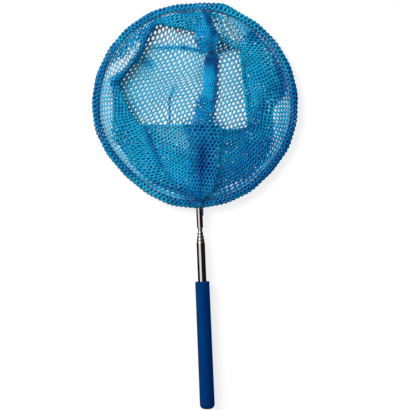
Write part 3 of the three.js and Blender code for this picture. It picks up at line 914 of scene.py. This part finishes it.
def fold_edge(cell, course, rows, reach_in):
    """Ring points, normals and cells of the narrow strip of net that turns round the inner fold."""
    turn = np.radians(TABLE_ANGLES)
    line = INNER_REACH[:, None] * np.stack([np.cos(turn), np.sin(turn)], -1)
    run = np.concatenate([[0], np.cumsum(np.linalg.norm(np.diff(line, axis=0), axis=1))])
    columns = round(run[-1] / cell)
    fitted = run[-1] / columns
    flat, cells = net_cells(staggered((0, columns), (0, rows), fitted, course), fitted, course, run[-1])

    def on_line(along):
        return np.stack([np.interp(along % run[-1], run, line[:, n]) for n in range(2)], -1)

    heading = on_line(flat[:, 0] + 2) - on_line(flat[:, 0] - 2)
    away = unit(np.stack([heading[:, 1], -heading[:, 0]], -1))
    middle = on_line(flat[:, 0]) + reach_in * away
    top, low = side_height(middle), under_height(middle)
    # The strip goes a few degrees past half a turn, so that its edges lie in the two layers
    past = 5
    over = np.radians(90 + past - (180 + 2 * past) * (flat[:, 1] + course / 2) / (rows * course))

    def section(outwards):
        points = middle - away * ((reach_in + outwards) * np.cos(over))[:, None]
        height = (top + low) / 2 + ((top - low) / 2 + outwards) * np.sin(over)
        return np.column_stack([points, height])

    return section(0), unit(section(0.1) - section(-0.1)), cells


def bottom_height(points):
    """Height of the bottom's single layer on the ground, with its ridges inside the fold."""
    angle, reach = polar(points)
    free = smooth_step(at_angles(INNER_REACH, angle) - reach, 0, 8)
    x, y = points[..., 0], points[..., 1]
    # The seam lies on the net and presses it flat
    seam_x = np.interp(y, [s[1] for s in SEAM_STATIONS[::-1]], [s[0] for s in SEAM_STATIONS[::-1]])
    free = free * (0.15 + 0.85 * smooth_step(np.abs(x - seam_x), 8, 14))
    waves = 0.7 + 0.7 * np.sin(x / 9.5 + y / 14 + 2.2) * np.cos(y / 11 - x / 17)
    return BOTTOM_REST + free * (waves + ridges(points, BOTTOM_PUCKERS))


def seam_line():
    """Run along the seam's middle, and its x, y and width there, with its corners smoothed."""
    stations = np.array(SEAM_STATIONS, float)
    spread = np.linspace(0, 1, len(stations))
    fine = np.linspace(0, 1, 400)
    line = np.stack([np.interp(fine, spread, stations[:, n]) for n in range(3)], -1)
    kernel = np.hanning(15) / np.hanning(15).sum()
    padded = np.pad(line, ((7, 7), (0, 0)), mode="reflect", reflect_type="odd")
    line = np.stack([np.convolve(padded[:, n], kernel, "valid") for n in range(3)], -1)
    steps = np.hypot(*np.diff(line[:, :2], axis=0).T)
    return np.concatenate([[0], np.cumsum(steps)]), line


def on_seam(flat, wide, run, line):
    """Places on the seam of a flat net that is as wide as said, drawn to the seam's own width."""
    def at(along, column):
        return np.interp(np.clip(along, 0, run[-1]), run, line[:, column])

    along = np.clip(flat[:, 1], 0, run[-1])
    dx = at(along + 1, 0) - at(along - 1, 0)
    dy = at(along + 1, 1) - at(along - 1, 1)
    size = np.hypot(dx, dy)
    side = flat[:, 0] / wide * at(along, 2)
    return np.stack([at(along, 0) - dy / size * side, at(along, 1) + dx / size * side], -1)


def seam_height(points, layer):
    """Height of one of the seam's layers: on the side, down to the bottom, and low at the hem."""
    angle, reach = polar(points)
    drop = smooth_step(at_angles(INNER_REACH, angle) - reach, 3, 15)
    end = smooth_step(reach, 84, 94)
    wave = 0.25 * np.sin(points[..., 1] / 2.1 + 2 * layer) + 0.2 * np.sin(points[..., 0] / 1.7)
    pile = (0.45 + 0.55 * layer + wave) * (1 - 0.4 * end)
    return SEAM_OVER_SIDE - 0.6 * end + (SEAM_ON_BOTTOM - SEAM_OVER_SIDE) * drop + pile


class INSECT_NET_OT_grip(bpy.types.Operator):
    """Make the moulded foam grip"""

    bl_idname = "insect_net.grip"
    bl_label = "Grip"

    def execute(self, context):
        sizes, colours = context.scene.insect_net_sizes, context.scene.insect_net_colours
        taper, chamfer = 0.3, 0.3
        start, end = ends_from_butt("grip")
        length = end - start
        butt_radius = half_width("grip")
        top_radius = butt_radius - taper
        bore = half_width("tube_1") + SNUG
        end_round, top_round = sizes.grip_end_round / MM, sizes.grip_top_round / MM
        end_wall = sizes.grip_end_wall / MM
        profile = [(0, 0)]
        profile += quarter(butt_radius - end_round, end_round, end_round, -90)
        profile += quarter(top_radius - top_round, length - top_round, top_round, 0)
        profile += [(bore + chamfer, length), (bore, length - chamfer), (bore, end_wall), (0, end_wall)]
        corners, faces = turned_shape(profile, sizes.round_sides)
        foam = moulded_eva_foam(colours)
        new_piece("foam_grip", corners, faces, foam, "handle", ["grip"], 50)
        return {"FINISHED"}


class INSECT_NET_OT_tubes(bpy.types.Operator):
    """Make the five chromed tubes, each but the last with its rolled mouth"""

    bl_idname = "insect_net.tubes"
    bl_label = "Tubes"

    def execute(self, context):
        sizes, colours = context.scene.insect_net_sizes, context.scene.insect_net_colours
        wall, room = sizes.tube_wall / MM, sizes.tube_room / MM
        lip_length, bead_length = sizes.lip_length / MM, sizes.bead_length / MM
        # The mouth is rolled in over 0.9 mm, from 1 mm below its end on
        roll_start, roll_length, edge_drop = 1, 0.9, 0.05
        outer_radius = half_width("tube_1")
        plate = polished_chrome(colours)
        for number, (node, body) in enumerate(BODIES.items()):
            tail, end = ends_from_butt(node)
            radius = outer_radius - number * (wall + room)
            profile = [(radius - wall, tail), (radius, tail)]
            if number:
                bead = tail + sizes.bead_start / MM
                for step in range(13):
                    share = step / 12
                    rise = BEAD_RISE * math.sin(math.pi * share)
                    profile.append((radius + rise, bead + bead_length * share))
            if number < len(BODIES) - 1:
                lip = radius - wall - room + SNUG
                drop = radius - lip - wall
                for step in range(9):
                    turn = math.pi / 2 * step / 8
                    along = end - roll_start + roll_length * math.sin(turn)
                    profile.append((radius - drop * (1 - math.cos(turn)), along))
                profile += [(lip + wall / 2, end), (lip, end - edge_drop), (lip, end - lip_length + wall)]
                profile += [(radius - wall, end - lip_length)]
            else:
                profile += [(radius, end), (radius - wall, end)]
            profile += [(radius - wall, tail)]
            corners, faces = turned_shape(profile, sizes.round_sides)
            new_piece("chromed_" + node, corners, faces, plate, body, [node], 35)
        return {"FINISHED"}


class INSECT_NET_OT_fittings(bpy.types.Operator):
    """Finish the bushes, the plug and the leaf springs inside the tubes"""

    bl_idname = "insect_net.fittings"
    bl_label = "Inner fittings"

    def execute(self, context):
        colours = context.scene.insect_net_colours
        finishes = {"tail_": moulded_nylon(colours), "friction_leaf": rolled_brass(colours)}
        for name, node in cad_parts.items():
            for start, material in finishes.items():
                if name.startswith(start):
                    node.data.materials.clear()
                    node.data.materials.append(material)
        return {"FINISHED"}


class INSECT_NET_OT_socket(bpy.types.Operator):
    """Make the chromed socket between the handle and the hoop"""

    bl_idname = "insect_net.socket"
    bl_label = "Hoop socket"

    def execute(self, context):
        sizes = context.scene.insect_net_sizes
        lower_round, upper_round, step_room = 0.4, 0.2, 0.3
        start, end = ends_from_butt("hoop_socket")
        outside = half_width("hoop_socket")
        tube_hole = half_width("tube_5") - BEAD_RISE + SNUG
        leg_hole = LEG_OFFSET + sizes.wire / MM / 2 + SNUG
        step = ends_from_butt("tube_5")[1] + step_room
        profile = [(tube_hole, start)]
        profile += quarter(outside - lower_round, start + lower_round, lower_round, -90)
        profile += quarter(outside - upper_round, end - upper_round, upper_round, 0)
        profile += [(leg_hole, end), (leg_hole, step), (tube_hole, step), (tube_hole, start)]
        corners, faces = turned_shape(profile, sizes.round_sides)
        plate = bpy.data.materials["polished_chrome_plate"]
        new_piece("chromed_socket", corners, faces, plate, "net_head", ["hoop_socket"], 35)
        return {"FINISHED"}


class INSECT_NET_OT_hoop(bpy.types.Operator):
    """Bend the hoop's wire, with its two legs in the socket"""

    bl_idname = "insect_net.hoop"
    bl_label = "Hoop wire"

    def execute(self, context):
        sizes, colours = context.scene.insect_net_sizes, context.scene.insect_net_colours
        bend_place = SOCKET_END + LEG_SHOWN - HOOP_MIDDLE
        leg_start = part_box("hoop_wire")[0].y / MM - HOOP_MIDDLE
        meets = math.degrees(math.asin(BEND_REACH / (HOOP_RADIUS + LEG_BEND)))
        half = [(LEG_OFFSET, leg_start), (LEG_OFFSET, leg_start / 2 + bend_place / 2)]
        for step in range(13):
            turn = math.radians((90 - meets) * step / 12)
            half.append((BEND_REACH - LEG_BEND * math.cos(turn), bend_place + LEG_BEND * math.sin(turn)))
        ring = hoop_place(np.linspace(-90 + meets, 270 - meets, 420)[1:-1], 0, 0)[:, :2].tolist()
        path = half + ring + [(-x, y) for x, y in half[::-1]]
        path = [(x, y + HOOP_MIDDLE, AXIS_HEIGHT) for x, y in path]
        corners, faces = thread_tube(path, sizes.wire / MM / 2, 16)
        steel = drawn_spring_wire(colours)
        new_piece("spring_wire_hoop", corners, faces, steel, "net_head", ["hoop_wire"], 50)
        return {"FINISHED"}


class INSECT_NET_OT_hem(bpy.types.Operator):
    """Knit the hem's sleeve round the wire, and stitch it down"""

    bl_idname = "insect_net.hem"
    bl_label = "Hem"

    def execute(self, context):
        sizes, colours = context.scene.insect_net_sizes, context.scene.insect_net_colours
        self.sleeve()
        thread = twisted_thread(colours)
        self.stitches(sizes.thread / MM / 2, thread)
        self.thread_end(thread)
        return {"FINISHED"}

    def sleeve(self):
        """Net round the wire, closer over the legs and more open at the upper right."""
        middles = staggered((0, HEM_COLUMNS), (0, HEM_ROWS), HEM_CELL, HEM_COURSE)
        along = 360 * middles[:, 0] / (HEM_COLUMNS * HEM_CELL)
        # Near the legs, only the cells on top are kept
        clear = HEM_GAP + 0.6
        beside_legs = (along > clear) & (along < 360 - clear)
        around = HEM_ROWS * HEM_COURSE
        on_top = np.sin(np.radians(HEM_START + 360 * middles[:, 1] / around)) > 0.3
        flat, cells = net_cells(middles[beside_legs | on_top], HEM_CELL, HEM_COURSE)
        ring = hem_place(flat)
        normals = unit(hem_place(flat, 0.1) - hem_place(flat, -0.1))
        middles = ring[cells].mean(1)
        shown = smooth_step(middles[:, 2] - AXIS_HEIGHT, -1.0, 1.4)
        angle = np.degrees(np.arctan2(middles[:, 1], middles[:, 0]))
        open_part = smooth_step(np.abs(angle - 51), 18, 8)
        legs = smooth_step(np.abs(angle + 90), 5, 3)
        width = 1.85 - (0.22 + 0.32 * open_part) * shown + uneven(cells, 6, 0, 0.22) + 0.6 * legs
        corners, faces = strands(ring, normals, cells, width, HEM_CLOTH)
        # Painted shade on the hem, from its table of lines
        hem = new_piece(
            "hem_sleeve", corners, faces, bpy.data.materials["knitted_polyester_net"], "net_head",
            ["net_hem"], None, OVER_HOOP, bunching_and_shade(corners[:, :2], HEM_PAINTED_SHADE),
        )

    def stitches(self, radius, thread):
        """A zigzag along the inner edge of the hem, which dips at its turns."""
        step, dip = 0.9, 0.35
        angles = np.linspace(-90 + HEM_GAP + 0.5, 270 - HEM_GAP - 0.5, STITCHES * 4 + 1)
        zigzag = np.abs((np.arange(len(angles)) / 2) % 2 - 1) - 0.5
        inset = HEM_HALF - 0.4 + step * zigzag
        path = hoop_place(angles, inset, STITCH_HEIGHT - dip * np.abs(zigzag))
        path[:, 1] += HOOP_MIDDLE
        corners, faces = thread_tube(path, radius, 6)
        new_piece("hem_stitches", corners, faces, thread, "net_head", ["hem_thread"])

    def thread_end(self, thread):
        """A loose end of doubled thread that lies beside the socket."""
        radius = 0.65
        path = [(3.3, -98.4, 9.2), (3.4, -101.5, 9.0), (3.4, -105, 8.9), (3.3, -108, 8.7), (3.2, -110, 8.5)]
        corners, faces = thread_tube(path, radius, 8)
        new_piece("thread_end", corners, faces, thread, "net_head", lift=OVER_HOOP)


class INSECT_NET_OT_bag_side(bpy.types.Operator):
    """Knit the side of the bag: from the hem in to the inner fold, and back out under itself"""

    bl_idname = "insect_net.bag_side"
    bl_label = "Bag side"

    def execute(self, context):
        sizes = context.scene.insect_net_sizes
        net = bpy.data.materials["knitted_polyester_net"]
        self.upper(sizes, net)
        self.lower(sizes, net)
        return {"FINISHED"}

    def upper(self, sizes, net):
        """Gathered net at the hem, a plain net further in, and a strip round the inner fold."""
        cloth = sizes.cloth / MM
        # The gathered net ends at this line, and the plain one goes on under it for 3 mm
        waves = 4 * np.sin(np.radians(TABLE_ANGLES * 3)) + 3 * np.sin(np.radians(TABLE_ANGLES * 8 + 50))
        middle_line = 60 + waves

        cell, course = sizes.side_cell / MM, sizes.side_course / MM
        columns = round(2 * math.pi * (HOOP_RADIUS - HEM_HALF) / cell)
        gathered = laid_net(
            staggered((0, columns), (0, 16), cell, course),
            lambda flat: gathered_side(flat, columns * cell), side_height, cell, course,
            np.maximum(INNER_REACH, middle_line), HEM_INSIDE + 0.9, columns * cell,
        )
        middles = gathered[0][gathered[2]].mean(1)
        angle, reach = polar(middles)
        at_hem = smooth_step(reach - at_angles(HEM_INSIDE, angle), -7, 0)
        below = smooth_step(np.abs(angle - 275), 62, 44)
        width = uneven(gathered[2], 1, sizes.side_strand / MM, 0.18)
        width += 0.4 * at_hem + (0.35 + 0.4 * at_hem) * below
        width += 0.3 * bunching_and_shade(middles[:, :2], SIDE_BUNCHING_AND_PAINTED_SHADE) + 0.15 * lies_alone(middles)

        # The plain net dips by 0.7 mm where it goes under the gathered one
        cell, course = 3.4, 2.9
        plain = laid_net(
            staggered((-34, 35), (-38, 39), cell, course), turned_grid(-27, 2.0, SIDE_PUCKERS),
            lambda points: side_height(points) - 0.7 * smooth_step(np.hypot(*points.T), 50, 56),
            cell, course, INNER_REACH, np.maximum(middle_line + 3, INNER_REACH),
        )
        edge = fold_edge(3.4, 2.6, 2, 2.2)
        corners, faces = joined([
            strands(*gathered, width, cloth),
            strands(*plain, uneven(plain[2], 2, 0.85, 0.35), cloth),
            strands(*edge, uneven(edge[2], 8, 1.0, 0.2), cloth),
        ])
        # Painted shade along the folds and towards the lower right, and painted light where the upper layer
        # lies with nothing under it
        upper = new_piece(
            "bag_side_upper", corners, faces, net, "net_head", ["net_side"], None, OVER_HOOP,
            bunching_and_shade(corners[:, :2], SIDE_BUNCHING_AND_PAINTED_SHADE, -0.7 * lies_alone(corners)),
        )

    def lower(self, sizes, net):
        """The layer under the upper one, and a tuck of it under the hem at the top."""
        cloth = sizes.cloth / MM
        cell, course = sizes.cell / MM, sizes.course / MM
        grid = staggered((-26, 27), (-28, 29), cell, course)
        under = laid_net(
            grid, turned_grid(41, 3.0, ()), under_height, cell, course, INNER_REACH,
            under_edge(TABLE_ANGLES), spare=-0.3,
        )
        tuck_edge = np.interp(TABLE_ANGLES, TUCK_ANGLES, TUCK_REACHES)
        tuck = laid_net(
            grid, turned_grid(12, 4.0, ()), lambda points: side_height(points) - TUCK_GAP, cell, course,
            tuck_edge, np.maximum(HEM_INSIDE - 0.2, tuck_edge),
        )
        corners, faces = joined([
            strands(*under, uneven(under[2], 3, 1.55, 0.3), cloth),
            strands(*tuck, uneven(tuck[2], 4, 1.2, 0.3), cloth),
        ])
        # Painted shade along the same lines on the lower layer
        lower = new_piece(
            "bag_side_lower", corners, faces, net, "net_head", (), None, OVER_HOOP,
            bunching_and_shade(corners[:, :2], SIDE_BUNCHING_AND_PAINTED_SHADE),
        )


class INSECT_NET_OT_bag_bottom(bpy.types.Operator):
    """Knit the bottom of the bag, one layer of net on the ground"""

    bl_idname = "insect_net.bag_bottom"
    bl_label = "Bag bottom"

    def execute(self, context):
        sizes, colours = context.scene.insect_net_sizes, context.scene.insect_net_colours
        net = knitted_polyester(
            "knitted_polyester_net", colours.net[:], colours.net_painted_shade[:], colours.net_painted_light[:]
        )
        cell, course = sizes.cell / MM, sizes.course / MM

        def place(flat):
            sheared = flat + np.stack([0.38 * flat[:, 1], 0 * flat[:, 1]], -1)
            points = turned_about(sheared, 16)
            return drawn_in(points + ripples(points, 0.8, 44, 0.0), BOTTOM_PUCKERS)

        grid = staggered((-46, 47), (-34, 35), cell, course)
        sheet = laid_net(grid, place, bottom_height, cell, course, 0 * OUTER_REACH, OUTER_REACH)
        middles = sheet[0][sheet[2]].mean(1)
        # Strands are thicker at the left and where the net is bunched, and thinner at both ends
        strand = uneven(sheet[2], 5, sizes.strand / MM, 0.1)
        strand += 0.24 * smooth_step(middles[:, 0], -30, -60) - 0.2 * smooth_step(middles[:, 1], 14, -8)
        strand += 0.45 * bunching_and_shade(middles[:, :2], BOTTOM_BUNCHING_AND_PAINTED_SHADE) - 0.1 * smooth_step(middles[:, 1], 60, 68)
        corners, faces = strands(*sheet, strand, sizes.cloth / MM)
        # Painted light over the whole bottom, and painted shade along its creases
        bottom = new_piece(
            "bag_bottom", corners, faces, net, "net_head", ["net_bottom"], None, OVER_HOOP,
            bunching_and_shade(corners[:, :2], BOTTOM_BUNCHING_AND_PAINTED_SHADE, -0.75),
        )
        return {"FINISHED"}


class INSECT_NET_OT_seam(bpy.types.Operator):
    """Knit the doubled seam down the middle of the bag, with its knot"""

    bl_idname = "insect_net.seam"
    bl_label = "Centre seam"

    def execute(self, context):
        colours = context.scene.insect_net_colours
        run, line = seam_line()
        length = run[-1]
        parts, shades = [], []
        for layer, (cell, course, shift) in enumerate(SEAM_LAYERS):
            flat, cells = self.flat_layer(SEAM_COLUMNS, 0, length, cell, course, shift)
            points = on_seam(flat, SEAM_COLUMNS * cell + cell / 2, run, line)
            parts.append(self.layer_net(points, cells, layer, uneven(cells, 7 + layer, 0.75, 0.25)))
            # Painted shade on each layer, and a little more painted light on each higher one
            shades.append(bunching_and_shade(parts[-1][0][:, :2], SEAM_PAINTED_SHADE_AND_LIGHT) - 0.15 * layer)

        # One more loose layer covers the seam's lower half, wider than it and open like the side
        first_row = int(COVER_START / COVER_COURSE)
        flat, cells = self.flat_layer(COVER_COLUMNS, first_row, length, COVER_CELL, COVER_COURSE)
        points = on_seam(flat, COVER_WIDTH, run, line)
        # It is narrower where it starts, and tapers at the hem
        fan = np.clip((length - flat[:, 1]) / 12, 0.25, 1) * (0.4 + 0.6 * smooth_step(flat[:, 1], 108, 120))
        points[:, 0] -= (points[:, 0] - np.interp(flat[:, 1], run, line[:, 0])) * (1 - fan)
        parts.append(self.layer_net(points, cells, 3, uneven(cells, 12, 0.85, 0.15)))
        # Painted shade on the loose layer
        shades.append(bunching_and_shade(parts[-1][0][:, :2], COVER_PAINTED_SHADE))

        corners, faces = joined(parts)
        doubled = knitted_polyester(
            "doubled_polyester_net", colours.seam[:], colours.seam_painted_shade[:], colours.seam[:]
        )
        seam = new_piece(
            "seam_band", corners, faces, doubled, "net_head", ["centre_seam"], None,
            OVER_HOOP, np.clip(np.concatenate(shades), -1, 1),
        )
        self.knot()
        return {"FINISHED"}

    def flat_layer(self, columns, first_row, length, cell, course, shift=0.0):
        """Ring points and cells of a layer laid flat, with the seam's line in its middle."""
        middles = staggered((0, columns), (first_row, int(length / course)), cell, course)
        start = (columns * cell / 2 - cell / 4, -course / 2 - shift)
        return net_cells(middles - start, cell, course)

    def layer_net(self, points, cells, layer, width):
        """Strands of a layer that lies at its own height."""
        def height(places):
            return seam_height(places, layer)

        ring = np.column_stack([points, height(points)])
        return strands(ring, slopes_to_normals(height, points), cells, width, SEAM_CLOTH)

    def knot(self):
        """Two turns of thread round the seam where it is tied."""
        x, y = KNOT
        turns = np.linspace(0, 2 * np.pi, 120, endpoint=False)
        wrap = 1.5 + 0.7 * np.cos(3 * turns)
        top = seam_height(np.array([KNOT]), 2)[0] + 1.0
        path = np.stack([
            x + wrap * np.cos(2 * turns), y + wrap * np.sin(2 * turns), top + 0.5 * np.sin(3 * turns)
        ], -1)
        corners, faces = thread_tube(path, KNOT_THREAD, 8, True)
        thread = bpy.data.materials["twisted_polyester_thread"]
        new_piece("seam_knot", corners, faces, thread, "net_head", lift=OVER_HOOP)


class INSECT_NET_OT_studio(bpy.types.Operator):
    """Set the floor, the lamps, the room and the camera"""

    bl_idname = "insect_net.studio"
    bl_label = "Studio"

    def execute(self, context):
        studio = context.scene.insect_net_studio
        self.floor()
        self.dark_cards()
        self.lamps(studio)
        self.room(context.scene, studio)
        self.camera(context.scene, studio)
        context.scene.view_settings.view_transform = "Standard"
        return {"FINISHED"}

    def stage_piece(self, name, corners, faces, material):
        """A mesh that belongs to the stage and not to the net."""
        mesh = bpy.data.meshes.new(name)
        mesh.from_pydata(corners, [], faces)
        mesh.materials.append(material)
        piece = bpy.data.objects.new(name, mesh)
        bpy.context.scene.collection.objects.link(piece)
        return piece

    def seen_directly(self, tree):
        """One where a ray from the camera, a reflection or a clear pane meets the surface."""
        path = add_node(tree, "LightPath")
        first = add_node(
            tree, "Math", {"operation": "MAXIMUM"},
            {0: path.outputs["Is Camera Ray"], 1: path.outputs["Is Glossy Ray"]},
        )
        return add_node(
            tree, "Math", {"operation": "MAXIMUM"},
            {0: first.outputs[0], 1: path.outputs["Is Transmission Ray"]},
        )

    def floor(self):
        """White paper: plain diffuse, and lit up to the background's white where it is seen."""
        material, tree = new_material("white_paper_floor")
        paper = add_node(tree, "BsdfDiffuse", {"Color": linear("#dcdcdc")})
        glow = add_node(tree, "Emission", {"Color": (1, 1, 1, 1), "Strength": FLOOR_GLOW})
        seen = self.seen_directly(tree)
        share = add_node(tree, "Math", {"operation": "MULTIPLY", 1: FLOOR_GLOW_SHARE}, {0: seen.outputs[0]})
        mixed = add_node(
            tree, "MixShader", None,
            {0: share.outputs[0], 1: paper.outputs["BSDF"], 2: glow.outputs["Emission"]},
        )
        add_node(tree, "OutputMaterial", links={"Surface": mixed.outputs[0]})
        half = 8.0
        corners = [(-half, -half, 0), (half, -half, 0), (half, half, 0), (-half, half, 0)]
        self.stage_piece("paper_floor", corners, [(0, 1, 2, 3)], material)

    def dark_cards(self):
        """Black cards that show only in the chrome: one over the right, a low one on the left.

        The right one is a quarter of a circle, and the left one rises to an angle.
        """
        material, tree = new_material("black_card")
        black = add_node(tree, "BsdfDiffuse", {"Color": linear("#171514")})
        add_node(tree, "OutputMaterial", links={"Surface": black.outputs["BSDF"]})
        far, lift, left_rise = 0.5, 0.0005, math.radians(33)
        outline = [(0.003, lift), (far, lift)]
        for degrees in range(90, -6, -5):
            turn = math.radians(degrees)
            outline.append((far * math.sin(turn), far * math.cos(turn)))
        self.card("card_right", outline, material)
        outline = [(-0.006, lift), (-far, lift), (-far, far * math.tan(left_rise))]
        self.card("card_left", outline, material)

    def card(self, name, outline, material):
        """A card from its outline across the handle."""
        half = 0.28
        corners = [(x, y, z) for x, z in outline for y in (-half, half)]
        faces = [(2 * n, 2 * n + 1, 2 * n + 3, 2 * n + 2) for n in range(len(outline) - 1)]
        card = self.stage_piece(name, corners, faces, material)
        card.visible_camera = False
        card.visible_diffuse = False
        card.visible_transmission = False
        card.visible_shadow = False

    def lamps(self, studio):
        """One large softbox at the upper left, turned to the net."""
        data = bpy.data.lights.new("softbox", "AREA")
        data.shape = "RECTANGLE"
        data.size = SOFTBOX_SIZE
        data.size_y = SOFTBOX_SIZE
        data.energy = studio.key_power
        lamp = bpy.data.objects.new("softbox", data)
        bpy.context.scene.collection.objects.link(lamp)
        lamp.location = SOFTBOX_PLACE
        away = np.array(lamp.location) - SOFTBOX_AIM
        turn = math.atan2(away[1], away[0])
        lean = math.acos(away[2] / np.linalg.norm(away))
        lamp.rotation_euler = (0, lean, turn)

    def room(self, scene, studio):
        """White where it is seen, and a dimmer fill on plain surfaces."""
        world = bpy.data.worlds.new("studio_room")
        scene.world = world
        world.use_nodes = True
        tree = world.node_tree
        tree.nodes.clear()
        seen = self.seen_directly(tree)
        direction = add_node(tree, "TexCoord").outputs["Generated"]
        lean = add_node(
            tree, "VectorMath", {"operation": "DOT_PRODUCT", 1: (-0.8, 0.4, 0.45)}, {0: direction}
        )
        fill = add_node(
            tree, "MapRange", {"From Min": -1.0, "To Min": 0.1, "To Max": 2 * studio.sky},
            {"Value": lean.outputs["Value"]},
        )
        strength = add_node(
            tree, "MapRange", {"To Max": 1.0}, {"Value": seen.outputs[0], "To Min": fill.outputs["Result"]}
        )
        sky = add_node(
            tree, "Background", {"Color": (1, 1, 1, 1)}, {"Strength": strength.outputs["Result"]}
        )
        add_node(tree, "OutputWorld", links={"Surface": sky.outputs["Background"]})

    def camera(self, scene, studio):
        """Straight above, turned a little, over the middle of the photographed area."""
        data = bpy.data.cameras.new("camera")
        data.sensor_fit = "VERTICAL"
        data.sensor_height = SENSOR_HEIGHT
        data.lens = SENSOR_HEIGHT * studio.camera_height / studio.frame_height
        data.clip_end = 50
        camera = bpy.data.objects.new("camera", data)
        scene.collection.objects.link(camera)
        height = AXIS_HEIGHT * MM + studio.camera_height
        camera.location = (VIEW_RIGHT * MM, (HOOP_MIDDLE - VIEW_BELOW_HOOP) * MM, height)
        camera.rotation_euler = (0, 0, -studio.turn)
        scene.camera = camera


OPERATORS = (
    INSECT_NET_OT_grip,
    INSECT_NET_OT_tubes,
    INSECT_NET_OT_fittings,
    INSECT_NET_OT_socket,
    INSECT_NET_OT_hoop,
    INSECT_NET_OT_bag_bottom,
    INSECT_NET_OT_bag_side,
    INSECT_NET_OT_hem,
    INSECT_NET_OT_seam,
    INSECT_NET_OT_studio,
)


class INSECT_NET_PT_pieces(bpy.types.Panel):
    """Lists the pieces of the insect net"""

    bl_label = "Insect Net"
    bl_idname = "INSECT_NET_PT_pieces"
    bl_space_type = "VIEW_3D"
    bl_region_type = "UI"
    bl_category = "Insect Net"

    def draw(self, context):
        for operator in OPERATORS:
            self.layout.operator(operator.bl_idname)
        for group in ("insect_net_sizes", "insect_net_colours", "insect_net_studio"):
            settings = getattr(context.scene, group)
            for name in settings.bl_rna.properties.keys():
                if name not in ("rna_type", "name"):
                    self.layout.prop(settings, name)


GROUPS = (INSECT_NET_PG_sizes, INSECT_NET_PG_colours, INSECT_NET_PG_studio)


def register():
    """Registers the classes, and gives each scene its settings."""
    for kind in GROUPS + OPERATORS + (INSECT_NET_PT_pieces,):
        bpy.utils.register_class(kind)
    bpy.types.Scene.insect_net_sizes = bpy.props.PointerProperty(type=INSECT_NET_PG_sizes)
    bpy.types.Scene.insect_net_colours = bpy.props.PointerProperty(type=INSECT_NET_PG_colours)
    bpy.types.Scene.insect_net_studio = bpy.props.PointerProperty(type=INSECT_NET_PG_studio)


def unregister():
    """Takes back all that register did."""
    del bpy.types.Scene.insect_net_studio
    del bpy.types.Scene.insect_net_colours
    del bpy.types.Scene.insect_net_sizes
    for kind in (INSECT_NET_PT_pieces,) + OPERATORS[::-1] + GROUPS[::-1]:
        bpy.utils.unregister_class(kind)


def main():
    register()
    for operator in OPERATORS:
        group, name = operator.bl_idname.split(".")
        getattr(getattr(bpy.ops, group), name)()


if __name__ == "__main__":
    main()
